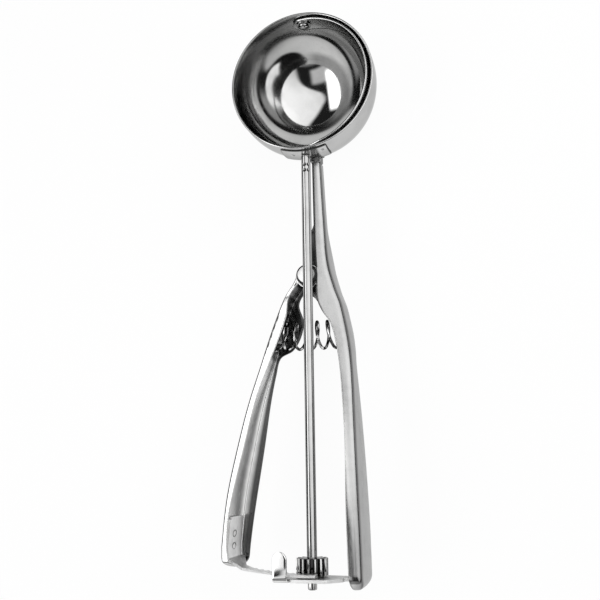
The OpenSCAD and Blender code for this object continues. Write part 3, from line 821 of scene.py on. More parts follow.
def place(piece: Object, body: Body, slot: Slot, finish: SteelFinish, *nodes: str) -> Object:
    """Dresses a made piece, sets it on its body and hides the CAD nodes it replaces.

    Args:
        piece: The made piece.
        body: The body it rides on.
        slot: The record's slot; not used.
        finish: Its finish.
        nodes: The CAD nodes it replaces.

    Returns:
        The piece.
    """
    dress(piece, finish)
    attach(piece, body.value)
    if nodes:
        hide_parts(*nodes)
    log.info("%s: %d faces on %s", piece.name, len(piece.data.polygons), body.value)
    return piece


def keep_nodes(finishes: dict[str, SteelFinish]) -> None:
    """Dresses the CAD nodes that stay as they are.

    Args:
        finishes: The finish of each node.
    """
    for name, finish in finishes.items():
        dress(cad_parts[name], finish)
        log.info("%s: kept from the solids", name)


# ---------------------------------------------------------------- bowl


@dataclass
class Bowl:
    """The half ball with its straight lip, and the strap and collar that carry it."""

    radius: float = 30.0
    wall: float = 0.9
    lip: float = 6.3
    segments: int = 192
    strap_gap: float = 0.05
    strap_t: float = 0.8
    strap_box: tuple[float, float, float, float] = (-9.6, 9.6, -6.5, 4.5)
    strap_corner: float = 0.7
    strap_edge: float = 0.22
    tab_box: tuple[float, float, float, float] = (-1.2, 5.9, -9.8, -4.0)
    tab_corner: float = 1.2
    tab_lift: float = 0.02
    welds: tuple[tuple[float, float], ...] = ((7.4, 1.9), (-5.2, 0.7))
    weld_r: float = 0.9
    weld_sink: float = 0.22
    collar_box: tuple[float, float, float, float] = (0.9, 5.3, -8.6, -3.9)
    collar_low: float = -32.45
    collar_edge: float = 0.35

    def shell(self) -> Object:
        """Turns the bowl's wall, with a rounded rim and closed poles."""
        inner, half = self.radius - self.wall, self.wall / 2
        down = np.radians(np.linspace(90, 0, 46))
        profile = [(inner * math.cos(a), -inner * math.sin(a)) for a in down]
        profile += [tuple(p) for p in arc((inner + half, self.lip - half), half, 180, 0, 8)]
        profile += [(self.radius * math.cos(a), -self.radius * math.sin(a)) for a in down[::-1]]
        return lathe("bowl_shell", profile, Axis.Z, segments=self.segments)

    def shell_tone(self, points: Array) -> tuple[Array, Array]:
        """Makes the inner wall duller towards its rim, where the blade doesn't burnish it, and
        paints shade on its left side there.
        """
        x, y, z = points.T
        away = np.sqrt(x * x + y * y + np.minimum(z, 0) ** 2)
        high = (away < self.radius - 0.6 * self.wall) * rise(z, -11, -5)
        # the shade is painted shade on the left upper inner wall; the haze is roughness
        return 0.5 * high * rise(x, 0, -12), 0.1 * high

    def strap_tone(self, points: Array) -> tuple[Array, Array]:
        """Paints shade along the strap's cut edges and on one side of the rims of its weld dimples.
        """
        x, _, z = points.T
        low_x, high_x, low_z, high_z = self.strap_box
        inside = np.minimum.reduce([x - low_x, high_x - x, z - low_z, high_z - z])
        spot = sum(
            peak(np.hypot(x - weld_x, z - weld_z), 0.55, 0.4) * (x > weld_x - 0.3)
            for weld_x, weld_z in self.welds
        )
        return 0.9 * np.maximum(rise(inside, 0.32, 0.2), spot), 0 * x

    def patch(self, name: str, box: Sequence[float], corner: float, lift: float) -> Object:
        """Makes a plate that lies on the ball, with a rounded outline.

        Args:
            name: The piece's name.
            box: Low x, high x, low z and high z of its outline.
            corner: Radius of the outline's corners.
            lift: How far it stands further out than the strap.

        Returns:
            The plate.
        """
        low, high = np.array(box[::2]), np.array(box[1::2])
        middle, half = (low + high) / 2, (high - low) / 2
        signs = [(1, 1), (-1, 1), (-1, -1), (1, -1)]
        turns = [
            arc(middle + np.array(sign) * (half - corner), corner, 90 * k, 90 * k + 90, 12)
            for k, sign in enumerate(signs)
        ]
        parts = []
        for turn, ahead in zip(turns, turns[1:] + turns[:1]):
            parts += [turn, np.linspace(turn[-1], ahead[0], 14)[1:-1]]
        ring = np.vstack(parts)
        inner_r = self.radius + self.strap_gap + lift
        outer_r = inner_r + self.strap_t
        edge, reach = self.strap_edge, float(np.linalg.norm(half))
        cut = BREAK * edge
        levels = [(share, inner_r) for share in np.linspace(0, 0.9, 8)]
        levels += [(1 - edge / reach, inner_r), (1, inner_r + edge), (1, outer_r - edge)]
        levels += [(1 - cut / reach, outer_r - cut), (1 - edge / reach, outer_r)]
        levels += [(share, outer_r) for share in np.linspace(0.96, 0, 60)]
        points = []
        for share, r in levels:
            flat = middle + share * (ring - middle)
            y = -np.sqrt(r * r - flat[:, 0] ** 2 - flat[:, 1] ** 2)
            if r > inner_r + self.strap_t / 2:
                for weld in self.welds:
                    away = np.linalg.norm(flat - weld, axis=1) / self.weld_r
                    y += self.weld_sink * np.clip(1 - away**2, 0, None)
            points.append(np.column_stack([flat[:, 0], y, flat[:, 1]]))
        return written(name, shell(np.vstack(points), ring_faces(len(levels), len(ring))))

    def collar(self) -> Object:
        """Makes the block between strap and neck, its top shaped to the strap."""
        low_x, high_x, low_z, high_z = self.collar_box
        top_r = self.radius + self.strap_gap + self.strap_t
        bm = bmesh.new()
        grid = {}
        for i, x in enumerate(np.linspace(low_x, high_x, 5)):
            for j, z in enumerate(np.linspace(low_z, high_z, 7)):
                grid[i, j, 0] = bm.verts.new((x, self.collar_low, z))
                grid[i, j, 1] = bm.verts.new((x, -math.sqrt(top_r**2 - x * x - z * z), z))

        def quad(*corners: tuple[int, int, int]) -> None:
            """Adds the face between four places of the grid."""
            bm.faces.new([grid[corner] for corner in corners])

        for i, j, k in product(range(4), range(6), (0, 1)):
            quad((i, j, k), (i + 1, j, k), (i + 1, j + 1, k), (i, j + 1, k))
        for i, j in product(range(4), (0, 6)):
            quad((i, j, 0), (i + 1, j, 0), (i + 1, j, 1), (i, j, 1))
        for i, j in product((0, 4), range(6)):
            quad((i, j, 0), (i, j + 1, 0), (i, j + 1, 1), (i, j, 1))
        bmesh.ops.recalc_face_normals(bm, faces=bm.faces)
        break_edges(bm, 0.8, self.collar_edge, False)
        bmesh.ops.scale(bm, vec=(MM, MM, MM), verts=bm.verts)
        return written("bowl_collar", bm)

    def build(self) -> None:
        """Builds and dresses the bowl, its strap and its collar."""
        place(tone(self.shell(), self.shell_tone), Body.FRAME, Slot.POLISHED, MIRROR, "bowl")
        parts = [
            self.patch("strap_plate", self.strap_box, self.strap_corner, 0.0),
            self.patch("strap_tab", self.tab_box, self.tab_corner, self.tab_lift),
        ]
        strap = tone(join("saddle_strap_sheet", parts), self.strap_tone)
        place(strap, Body.FRAME, Slot.POLISHED, STRAP, "saddle_strap")
        # The collar is darkened all over: painted shade between the strap and the neck.
        collar = tone(self.collar(), lambda p: (0.55 + 0 * p[:, 0], 0 * p[:, 0]))
        place(collar, Body.FRAME, Slot.POLISHED, STRAP, "neck_collar")


# ---------------------------------------------------------------- handles


@dataclass
class HandleShape:
    """Sizes that both handles share, in the terms of the solids."""

    hinge_x: float = -1.4
    hinge_y: float = -80.0
    rack_radius: float = 114.2
    handle_front: float = -4.2
    handle_back: float = -19.2
    grip_front: float = 4.0
    grip_back: float = -18.0
    waist_back: float = -14.7
    corner: float = 4.2
    neck_top: float = -32.45

    def down(self, share: float) -> float:
        """Returns a level below the hinge, as a share of the distance to the rack."""
        return self.hinge_y - share * self.rack_radius

    def knots(self, size: float, *pairs: tuple[float, float]) -> list[tuple[float, float]]:
        """Returns knots from shares of a size, each with its share of the way to the rack."""
        return [(size * value, self.down(share)) for value, share in pairs]

    def blend(self, start: float, end: float, share: float) -> float:
        """Returns a value a share of the way from start to end."""
        return start + share * (end - start)


@dataclass
class Handle:
    """A handle folded from sheet: an outer web and two flanges with free edges.

    Each row of its mesh is a section at one level y. A side of 1 is the front and -1 the rear.

    Attributes:
        shape: The sizes that both handles share.
        name: The piece's name.
        out: How far out its grip lies.
        end: The lowest level.
        end_r: Height of the rounding at the end.
        inward: -1 where the web lies on the right, 1 where it lies on the left.
        sheet: Thickness of the sheet.
        fold: Outer radius of the folds.
        edge_r: Radius of the free edges.
        crown: How far the web stands out in its middle.
        settle: Height over which the inner wall draws up from the end.
    """

    shape: HandleShape = field(default_factory=HandleShape)
    name: str = "handle_sheet"
    out: float = 0.0
    end: float = 0.0
    end_r: float = 0.0
    inward: int = 1
    sheet: float = 1.0
    fold: float = 1.0
    edge_r: float = 0.3
    crown: float = 0.3
    settle: float = 9.0
    web_steps: int = 7
    fold_steps: int = 6
    flange_steps: int = 9
    edge_steps: int = 3
    corner_steps: int = 18

    def web_knots(self) -> Knots:
        """Returns the knots (x, y) of the web."""
        raise NotImplementedError

    def face_knots(self, side: int) -> Knots:
        """Returns the knots (height, y) of a face."""
        raise NotImplementedError

    def edge_knots(self, side: int) -> Knots:
        """Returns the knots (x, y) of a flange's free edge, without the foot at the end."""
        raise NotImplementedError

    def slope(self, y: Array) -> tuple[Array, Array]:
        """Returns the front flange's lean from its fold, and its fall towards it, at levels y."""
        raise NotImplementedError

    def web(self, y: Array, inset: float) -> Array:
        """Returns the web's x at levels y, with the corner at the grip's end."""
        s, side = self.shape, -self.inward
        centre = (side * (self.out - s.corner), self.end + s.corner)
        corner = arc(centre, s.corner - inset, 90 * (1 - side), 90 * (1 - 2 * side))
        return at_level(np.vstack([beside(smooth(self.web_knots()), -side * inset), corner]), y)

    def face(self, side: int, y: Array, inset: float) -> Array:
        """Returns a face's height at levels y, rounded off towards the grip's end.

        Args:
            side: The face.
            y: The levels.
            inset: How deep below the face.

        Returns:
            The height at each level.
        """
        s, top = self.shape, self.end + self.end_r
        z = at_level(smooth(self.face_knots(side)), y) - side * inset
        share = np.clip((top - y) / (self.end_r - inset), 0, 1)
        half = (s.grip_front - s.grip_back) / 2 - inset
        oval = (s.grip_front + s.grip_back) / 2 + side * half * np.sqrt(1 - share**2)
        return np.where(y < top, oval, z)

    def free_edge(self, side: int, y: Array) -> Array:
        """Returns a flange's free edge at levels y, without the round ear at the hinge."""
        foot = (-self.inward * (self.out - self.shape.corner - 0.37), self.end + 0.02)
        return at_level(np.vstack([[foot], smooth(self.edge_knots(side))]), y)

    def levels(self, *spans: tuple[float, float, int]) -> Array:
        """Returns the rows' levels from the top down: even spans, then closer round the corner."""
        even = [np.linspace(a, b, n, endpoint=False) for a, b, n in spans]
        turn = np.linspace(0, np.pi / 2, self.corner_steps + 1)
        return np.concatenate([*even, self.end + self.shape.corner * (1 - np.sin(turn))])

    def half(self, side: int, inset: float, y: Array) -> tuple[Array, Array]:
        """Lays out one wall of one half of the section, from mid web to near the free edge.

        Args:
            side: The half.
            inset: 0 for the outer wall, the sheet's thickness for the inner wall.
            y: The rows' levels.

        Returns:
            The x and z of the points, rows by points.
        """
        web, edge = self.web(y, inset), self.free_edge(side, y)
        middle = (self.face(1, y, inset) + self.face(-1, y, inset)) / 2
        width = np.maximum(self.inward * (edge - web), 1e-4)
        lean, camber = self.slope(y) if side > 0 else (0 * y, 0 * y)
        high = np.abs(self.face(side, y, inset) - middle) - (lean + camber) * width
        fold = np.full_like(y, max(self.fold - inset, 0.35))
        radius = np.minimum.reduce([fold, 0.9 * high, 0.45 * width])

        def bulge(z: Array) -> Array:
            """Returns how far the web stands out at heights z."""
            share = z / np.maximum(high, 1e-6)
            return self.crown * (1 - share**2) * np.clip(high / 6, 0, 1)

        rows = []
        for t in np.linspace(0, 1, self.web_steps, endpoint=False):
            z = t * (high - radius)
            rows.append((web - self.inward * bulge(z), z))
        last = bulge(high - radius)
        for a in np.linspace(0, np.pi / 2, self.fold_steps + 1):
            x = web + self.inward * (radius * (1 - math.cos(a)) - last * math.cos(a))
            rows.append((x, high - radius + radius * math.sin(a)))
        start = web + self.inward * radius
        stop = edge - self.inward * np.minimum(self.edge_r, 0.4 * width)
        for t in np.linspace(0, 1, self.flange_steps + 1)[1:]:
            z = high + (lean * t + camber * (1 - (1 - t) ** 2)) * width
            rows.append((start + t * (stop - start), z))
        x, z = (np.array(part).T for part in zip(*rows))
        return x, middle[:, None] + side * z

    def channel(self, levels: Array) -> Object:
        """Lofts the section over all rows into one closed mesh, its inner wall ending higher."""
        share = np.clip((levels - self.end) / self.settle, 0, 1)
        drawn = self.end + self.sheet + share * (self.settle - self.sheet)
        inner = np.where(levels < self.end + self.settle, drawn, levels)
        walls = {
            side: (*self.half(side, 0.0, levels), *self.half(side, self.sheet, inner))
            for side in (1, -1)
        }

        def wall(side: int, order: range, which: int) -> list[Array]:
            """Returns the columns of the outer wall, 0, or the inner, 1, in the given order."""
            x, z = walls[side][2 * which : 2 * which + 2]
            y = inner if which else levels
            return [np.column_stack([x[:, j], y, z[:, j]]) for j in order]

        def rim(side: int) -> list[Array]:
            """Returns the columns of a rounded free edge, from the outer wall to the inner."""
            ox, oz, ix, iz = (part[:, -1] for part in walls[side])
            e_out, e_in = self.free_edge(side, levels), self.free_edge(side, inner)
            turn = np.linspace(0, np.pi / 2, self.edge_steps + 1)[1:]
            steps = [(math.sin(a), self.edge_r / self.sheet * (1 - math.cos(a))) for a in turn]
            steps += [(out, 1 - depth) for out, depth in reversed(steps)]
            columns = []
            for out, depth in steps:
                near, flush = ox + (ix - ox) * depth, e_out + (e_in - e_out) * depth
                y, z = levels + (inner - levels) * depth, oz + (iz - oz) * depth
                columns.append(np.column_stack([near + (flush - near) * out, y, z]))
            return columns

        m, rim_n = walls[1][0].shape[1], 2 * self.edge_steps
        columns = [
            *wall(1, range(m), 0), *rim(1), *wall(1, range(m - 1, -1, -1), 1),
            *wall(-1, range(1, m), 1), *rim(-1)[::-1], *wall(-1, range(m - 1, 0, -1), 0),
        ]
        count, start = len(columns), 2 * m + rim_n - 1
        faces = ring_faces(len(levels), count)
        for j in range(m - 1):
            faces.append((j, j + 1, start - j - 1, start - j))
            faces.append(((count - j) % count, start + j, start + j + 1, count - j - 1))
        faces += [tuple(range(i, i + rim_n + 2)) for i in (m - 1, start + m - 1)]
        return written(self.name, shell(np.stack(columns, axis=1).reshape(-1, 3), faces), 60)

    def ear(self, low: float, radius: float, bore: float) -> Object:
        """Turns one round ear about the hinge, with its bore and broken edges.

        Args:
            low: Level of the sheet's rear face.
            radius: Its outer radius.
            bore: Radius of its bore.

        Returns:
            The ear.
        """
        r = 0.25
        cut = BREAK * r
        low, high = low - SINK, low + self.sheet + SINK
        profile = [
            (bore, low), (radius - r, low), (radius - cut, low + cut), (radius, low + r),
            (radius, high - r), (radius - cut, high - cut), (radius - r, high),
            (radius - 0.32, high), (radius - 0.55, high), (bore, high),
        ]
        hinge = (self.shape.hinge_x, self.shape.hinge_y)
        return lathe("ear", profile, Axis.Z, hinge, 72, ring=True)


@dataclass
class FixedHandle(Handle):
    """The fixed handle: neck, hinge ears and grip in one folded sheet."""

    name: str = "fixed_handle_sheet"
    out: float = 19.4
    end: float = -200.6
    end_r: float = 5.5
    inward: int = -1
    fold: float = 2.5
    neck_left: float = 1.4
    neck_right: float = 4.8
    neck_front: float = -4.4
    neck_depth: float = 7.0
    hinge_depth: float = 15.0
    ear_r: float = 4.0
    bore_r: float = 2.0

    def web_knots(self) -> Knots:
        """Returns the knots (x, y) of the web."""
        s = self.shape
        return [
            (self.neck_right, s.neck_top),
            (1.25 * self.neck_right, (s.neck_top + s.hinge_y) / 2),
            *s.knots(self.neck_right, (1.5, -0.053)),
            *s.knots(self.out, (0.507, 0.044), (0.644, 0.114), (0.814, 0.28)),
            *s.knots(self.out, (0.918, 0.578), (0.985, 0.832)),
            (self.out, self.end + 2 * s.corner),
        ]

    def edge_knots(self, side: int) -> Knots:
        """Returns the knots (x, y) of a free edge; the rear one has the wide ear."""
        s = self.shape
        low = [
            (0.737 * self.out, self.end + 1.55 * s.corner),
            *s.knots(self.out, (0.722, 0.832), (0.706, 0.578), (0.608, 0.359), (0.521, 0.254)),
        ]
        top = (self.neck_left, s.neck_top)
        if side > 0:
            high = [(0.402, 0.175), (0.232, 0.131), (0.124, 0.083), (0.124, 0), (0.093, -0.123)]
            return [*low, *s.knots(self.out, *high), top]
        high = [
            (0.37, 0.175), (0.19, 0.131), (-0.077, 0.061), (-0.155, 0.049), (-0.216, 0.036),
            (-0.216, -0.08), (-0.12, -0.15), (0.02, -0.21),
        ]
        return [*low, *s.knots(self.out, *high), *s.knots(self.neck_left, (0.6, -0.28)), top]

    def face_knots(self, side: int) -> Knots:
        """Returns the knots (height, y) of a face."""
        s = self.shape
        front, back, waist = s.handle_front, s.handle_back, s.waist_back
        if side > 0:
            return [
                (self.neck_front, s.neck_top),
                *s.knots(front, (1, -0.123), (1, -0.05), (1, 0.05), (1, 0.175)),
                (s.blend(front, s.grip_front, 0.2), s.down(0.333)),
                (s.blend(front, s.grip_front, 0.65), s.down(0.525)),
                (s.grip_front, s.down(0.744)),
                (s.grip_front, self.end + self.end_r),
            ]
        neck_back = self.neck_front - self.neck_depth
        return [
            (s.grip_back, self.end + self.end_r),
            (s.grip_back, s.down(0.744)),
            (s.blend(s.grip_back, waist, 0.25), s.down(0.525)),
            (waist, s.down(0.33)),
            (s.blend(back, waist, 0.4), s.down(0.255)),
            *s.knots(back, (1, 0.2), (1, 0.17), (1, 0.06), (1, -0.036), (1, -0.05)),
            (back + 0.08 * self.hinge_depth, s.down(-0.08)),
            (neck_back - 0.14 * self.neck_depth, s.down(-0.166)),
            (neck_back - 0.06 * self.neck_depth, (s.neck_top + s.hinge_y) / 2),
            (neck_back, s.neck_top),
        ]

    def slope(self, y: Array) -> tuple[Array, Array]:
        """Returns the front flange's lean from its fold, and its fall towards it, at levels y."""
        return 0 * y, 0.01 + 0.05 * rise(y, -140, -180)

    def tone(self, points: Array) -> tuple[Array, Array]:
        """Paints shade along the fold, along the front flange's free edge low on the grip and by
        the neck, and inside the channel, darkest at the hinge; the outside is darkened a little
        except a band on the front flange beside the fold, left light as a painted highlight. The
        inside is also a little duller.
        """
        x, y, z = points.T
        half = 0.5 * self.sheet
        inside = (x < self.web(y, half)) & (z < self.face(1, y, half))
        inside &= z > self.face(-1, y, half)
        web, edge = self.web(y, 0.0), self.free_edge(1, y)
        drop = self.face(1, y, 0.0) - z
        on_top = drop < 1.0
        # a band on the front flange beside the fold that stays light: a painted highlight
        painted_highlight = peak(web - x, 4.2, 1.6) * on_top * rise(y, -125, -145)
        return np.maximum.reduce([
            inside * (0.4 + 0.4 * rise(y, -92, -80)),
            0.85 * peak(drop, 1.2, 1.7) * (x > web - 2.2),
            0.3 * (1 - painted_highlight) * ~inside,
            0.6 * rise(x - edge, 1.3, 0) * on_top * rise(y, -150, -162),
            0.9 * rise(edge - x, -0.9, -0.6) * (y > -77),
        ]), 0.05 * inside

    def build(self) -> None:
        """Builds and dresses the fixed handle."""
        s = self.shape
        levels = self.levels(
            (s.neck_top, -75.0, 40), (-75.0, -85.0, 50), (-85.0, self.end + s.corner, 120)
        )
        lows = (s.handle_front - self.sheet, s.handle_back)
        ears = [self.ear(low, self.ear_r, self.bore_r) for low in lows]
        joined = tone(join(self.name, [self.channel(levels), *ears]), self.tone)
        place(joined, Body.FRAME, Slot.HANDLE, SATIN, "fixed_handle")


@dataclass
class Lever(Handle):
    """The sprung lever with its round ears."""

    name: str = "lever_sheet"
    out: float = 34.6
    end: float = -193.0
    end_r: float = 3.0
    ear_front: float = -5.72
    ear_back: float = -17.68
    ear_r: float = 5.0
    bore_r: float = 2.06

    def web_knots(self) -> Knots:
        """Returns the knots (x, y) of the web."""
        shares = [
            (0.162, -0.018), (0.223, 0.023), (0.335, 0.074), (0.468, 0.179),
            (0.587, 0.294), (0.72, 0.433), (0.838, 0.595), (0.942, 0.762),
        ]
        low = (-self.out, self.end + 2 * self.shape.corner)
        return [*self.shape.knots(-self.out, *shares), low]

    def edge_knots(self, side: int) -> Knots:
        """Returns the knots (x, y) of a free edge; the rear one has the ear round the spring."""
        s = self.shape
        low = (0.907, 0.928) if side > 0 else (0.873, 0.858)
        shares = [
            (0.902, 0.814), (0.75, 0.595), (0.635, 0.433), (0.48, 0.294), (0.37, 0.21),
            (0.3, 0.14), (0.277, 0.075), (0.168, 0.028),
        ] if side > 0 else [
            (0.809, 0.814), (0.69, 0.595), (0.61, 0.433), (0.543, 0.333), (0.486, 0.275),
            (0.332, 0.249), (0.231, 0.201), (0.191, 0.144), (0.237, 0.083), (0.139, 0.03),
        ]
        return [
            (-low[0] * self.out, self.end + 0.62 * s.corner),
            (-low[1] * self.out, self.end + 1.9 * s.corner),
            *s.knots(-self.out, *shares),
            (s.hinge_x, s.hinge_y),
            (s.hinge_x, s.hinge_y + 3),
        ]

    def free_edge(self, side: int, y: Array) -> Array:
        """Returns a flange's free edge at levels y, kept clear of the rivet."""
        x = super().free_edge(side, y)
        clear = self.shape.hinge_x - self.bore_r - 0.3
        return np.where(y > self.shape.down(0.05), np.minimum(x, clear), x)

    def face_knots(self, side: int) -> Knots:
        """Returns the knots (height, y) of a face."""
        s = self.shape
        if side > 0:
            return [
                *s.knots(self.ear_front, (1, -0.105), (1, 0.045), (1, 0.07)),
                (s.handle_front, s.down(0.184)),
                (s.blend(s.handle_front, s.grip_front, 0.2), s.down(0.333)),
                (s.blend(s.handle_front, s.grip_front, 0.65), s.down(0.525)),
                (s.grip_front, s.down(0.744)),
                (s.grip_front, self.end + self.end_r),
            ]
        return [
            (s.grip_back, self.end + self.end_r),
            (s.blend(s.grip_back, s.handle_back, 0.25), s.down(0.744)),
            (s.blend(s.grip_back, s.handle_back, 0.65), s.down(0.525)),
            *s.knots(s.handle_back, (1, 0.333), (1, 0.184)),
            *s.knots(self.ear_back, (1, 0.07), (1, 0.045), (1, -0.105)),
        ]

    def slope(self, y: Array) -> tuple[Array, Array]:
        """Returns the front flange's lean from its fold, and its fall towards it, at levels y."""
        return 0.12 * rise(y, -82, -88), 0 * y

    def tone(self, points: Array) -> tuple[Array, Array]:
        """Paints shade inside the channel, most near the hinge and at the rear flange's free edge,
        with streaks near the hinge, and a dark line along the front fold. The inside is also a
        little duller.
        """
        x, y, z = points.T
        half = 0.5 * self.sheet
        web, back = self.web(y, half), self.face(-1, y, half)
        inside = (x > web) & (z < self.face(1, y, half)) & (z > back)
        wall = self.web(y, self.sheet)
        out = np.clip((x - wall) / np.maximum(self.free_edge(-1, y) - wall, 0.1), 0, 1)
        low = rise(z - self.face(-1, y, self.sheet), 1.5, 0) * rise(out, -0.05, 0.55)
        streaks = 0.8 + 0.16 * np.sin(2.6 * x + 0.9 * y) * rise(y, -84, -88)
        drop = self.face(1, y, 0.0) - z
        line = rise(drop, 0.3, 0.55) * rise(drop, 1.7, 1.3) * (x < web)
        # painted shade inside; the outside is darkened by a third, so the inside, left at the full
        # tint, is painted lighter than it
        deep = inside * np.maximum(0.92 * low, streaks * rise(y, -120, -110))
        return np.maximum(deep + 0.33 * ~inside, 0.85 * line), 0.06 * inside

    def build(self) -> None:
        """Builds and dresses the lever."""
        s = self.shape
        levels = self.levels(
            (s.down(-0.018), -92.0, 40), (-92.0, -118.0, 50), (-118.0, self.end + s.corner, 70)
        )
        lows = (self.ear_front - self.sheet, self.ear_back)
        ears = [self.ear(low, self.ear_r, self.bore_r) for low in lows]
        joined = tone(join(self.name, [self.channel(levels), *ears]), self.tone)
        place(joined, Body.LEVER, Slot.HANDLE, BRIGHT, "lever")


# ---------------------------------------------------------------- hinge and spring


@dataclass
class Hinge:
    """The hinge rivet with its flat-topped head, and the pieces stacked on it."""

    x: float = -1.4
    y: float = -80.0
    face: float = -4.2
    rear: float = -19.2
    shank_r: float = 2.0
    head_r: float = 4.4
    head_h: float = 1.7
    burr_t: float = 0.8
    tail_r: float = 2.8
    tail_h: float = 0.8

    def rivet(self) -> Object:
        """Turns the rivet, from the crown of its head to its rear end."""
        r, top, low = self.head_r, self.face + self.head_h, self.rear - self.burr_t
        profile = [
            (0, top), (0.5 * r, top), (r - 1.02, top), (r - 0.88, top - 0.02),
            (r - 0.5, top - 0.04), (0.985 * r, top - 0.75 * self.head_h), (0.97 * r, self.face),
            (self.shank_r, self.face), (self.shank_r, low), (self.tail_r, low),
            (self.tail_r - 0.2, low - 0.5 * self.tail_h), (1.2, low - self.tail_h),
            (0, low - self.tail_h),
        ]
        head = rounded(profile, 0.1)
        return lathe("hinge_rivet_turned", head, Axis.Z, (self.x, self.y), 96)

    def tone(self, points: Array) -> tuple[Array, Array]:
        """Paints a dark ring of shade round the polished middle of the head, for the gap and its
        edge's dark reflection.
        """
        away = np.hypot(points[:, 0] - self.x, points[:, 1] - self.y) - self.head_r
        return 0.97 * rise(away, -1.0, -0.88), 0 * away

    def build(self) -> None:
        """Builds the rivet and dresses what stays from the solids."""
        place(tone(self.rivet(), self.tone), Body.FRAME, Slot.RIVET, PLATE, "hinge_rivet")
        keep_nodes({"hinge_burr": CUT, "hinge_spacer": CUT, "hinge_washers": CUT})


@dataclass
class ReturnSpring:
    """The wound return spring between the handles, drawn along its path by a node tree."""

    left: float = -15.6
    right: float = 12.3
    y: float = -103.5
    z: float = -11.7
    radius: float = 5.45
    wire: float = 1.2
    turns: int = 6
    lean_left: float = 0.3
    lean_right: float = 0.18
    steps: int = 48
    sides: int = 20
    anchor: float = 0.0128
    keep: float = 0.86
    boss_r: float = 2.8
    boss_h: float = 1.6
    boss_foot: float = 5.0
    lever: Lever = field(default_factory=Lever)

    def path(self) -> Array:
        """Returns the points of the wire's centre line."""
        share = np.linspace(0, 1, self.turns * self.steps + 1)
        a = 2 * np.pi * self.turns * share
        lean = self.lean_left * (1 - share) - self.lean_right * share
        x = self.left + (self.right - self.left) * share - lean * self.radius * np.cos(a)
        y, z = self.y - self.radius * np.cos(a), self.z - self.radius * np.sin(a)
        return np.column_stack([x, y, z])

    def tree(self) -> Tree:
        """Builds the tree that sweeps a round wire, with inputs for its radius and sides."""
        nodes, given, result = shape_group(
            "swept_wire", {Sockets.RADIUS: Kind.FLOAT, Sockets.SIDES: Kind.INT}
        )
        curve = nodes.add("GeometryNodeMeshToCurve", {"Mesh": given.outputs[Sockets.GEOMETRY]})
        radius, sides = given.outputs[Sockets.RADIUS], given.outputs[Sockets.SIDES]
        wire = swept(nodes, curve.outputs["Curve"], radius, sides, True)
        close_tree(nodes, result, wire, WIRE.material())
        return nodes.tree

    def wire_mesh(self) -> Object:
        """Sweeps the wire and returns it as a plain mesh object."""
        points = self.path()
        edges = [(i, i + 1) for i in range(len(points) - 1)]
        values = {Sockets.RADIUS: self.wire / 2 * MM, Sockets.SIDES: self.sides}
        return baked("return_spring_wire", points, edges, self.tree(), values)

    def seat(self) -> Object:
        """Turns the boss inside the spring's end at the lever, its foot on the slanted wall."""
        r, tip, foot = self.boss_r, self.left + self.boss_h, self.left - self.boss_foot
        profile = [
            (0, tip), (r - 0.5, tip), (r - 0.15, tip - 0.15), (r, tip - 0.5), (r, foot), (0, foot),
        ]
        piece = lathe("lever_spring_boss", profile, Axis.X, (self.y, self.z), 48)
        for vertex in piece.data.vertices:
            if vertex.co.x < (foot + 1) * MM:
                wall = self.lever.web(np.array([vertex.co.y / MM]), self.lever.sheet)[0]
                vertex.co.x = (wall - SINK) * MM
        return piece

    def tone(self, points: Array) -> tuple[Array, Array]:
        """Paints dark streaks that wind along the drawn wire, standing in for its dark reflections.
        """
        x, y, z = (points - [0, self.y, self.z]).T
        turn = np.arctan2(z, -y)
        round_wire = np.arctan2(np.hypot(y, z) - self.radius, x - np.round(x / 1.1) * 1.1)
        wave = np.sin(5 * turn + 2.1 * x + round_wire) + 0.5 * np.sin(11 * turn - 1.3 * x)
        return 0.93 * rise(wave, -0.25, 0.25), 0 * x

    def build(self) -> None:
        """Builds the spring and its seats; the wire keeps its rest shape, though the real spring
        shortens as the lever closes.
        """
        wire = tone(self.wire_mesh(), self.tone)
        piece = place(wire, Body.FRAME, Slot.SPRING, WIRE, "return_spring")
        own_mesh(piece)
        place(self.seat(), Body.LEVER, Slot.SEAT, DULL, "lever_spring_seat")
        keep_nodes({"handle_spring_seat": DULL})


# ---------------------------------------------------------------- scraper and drive


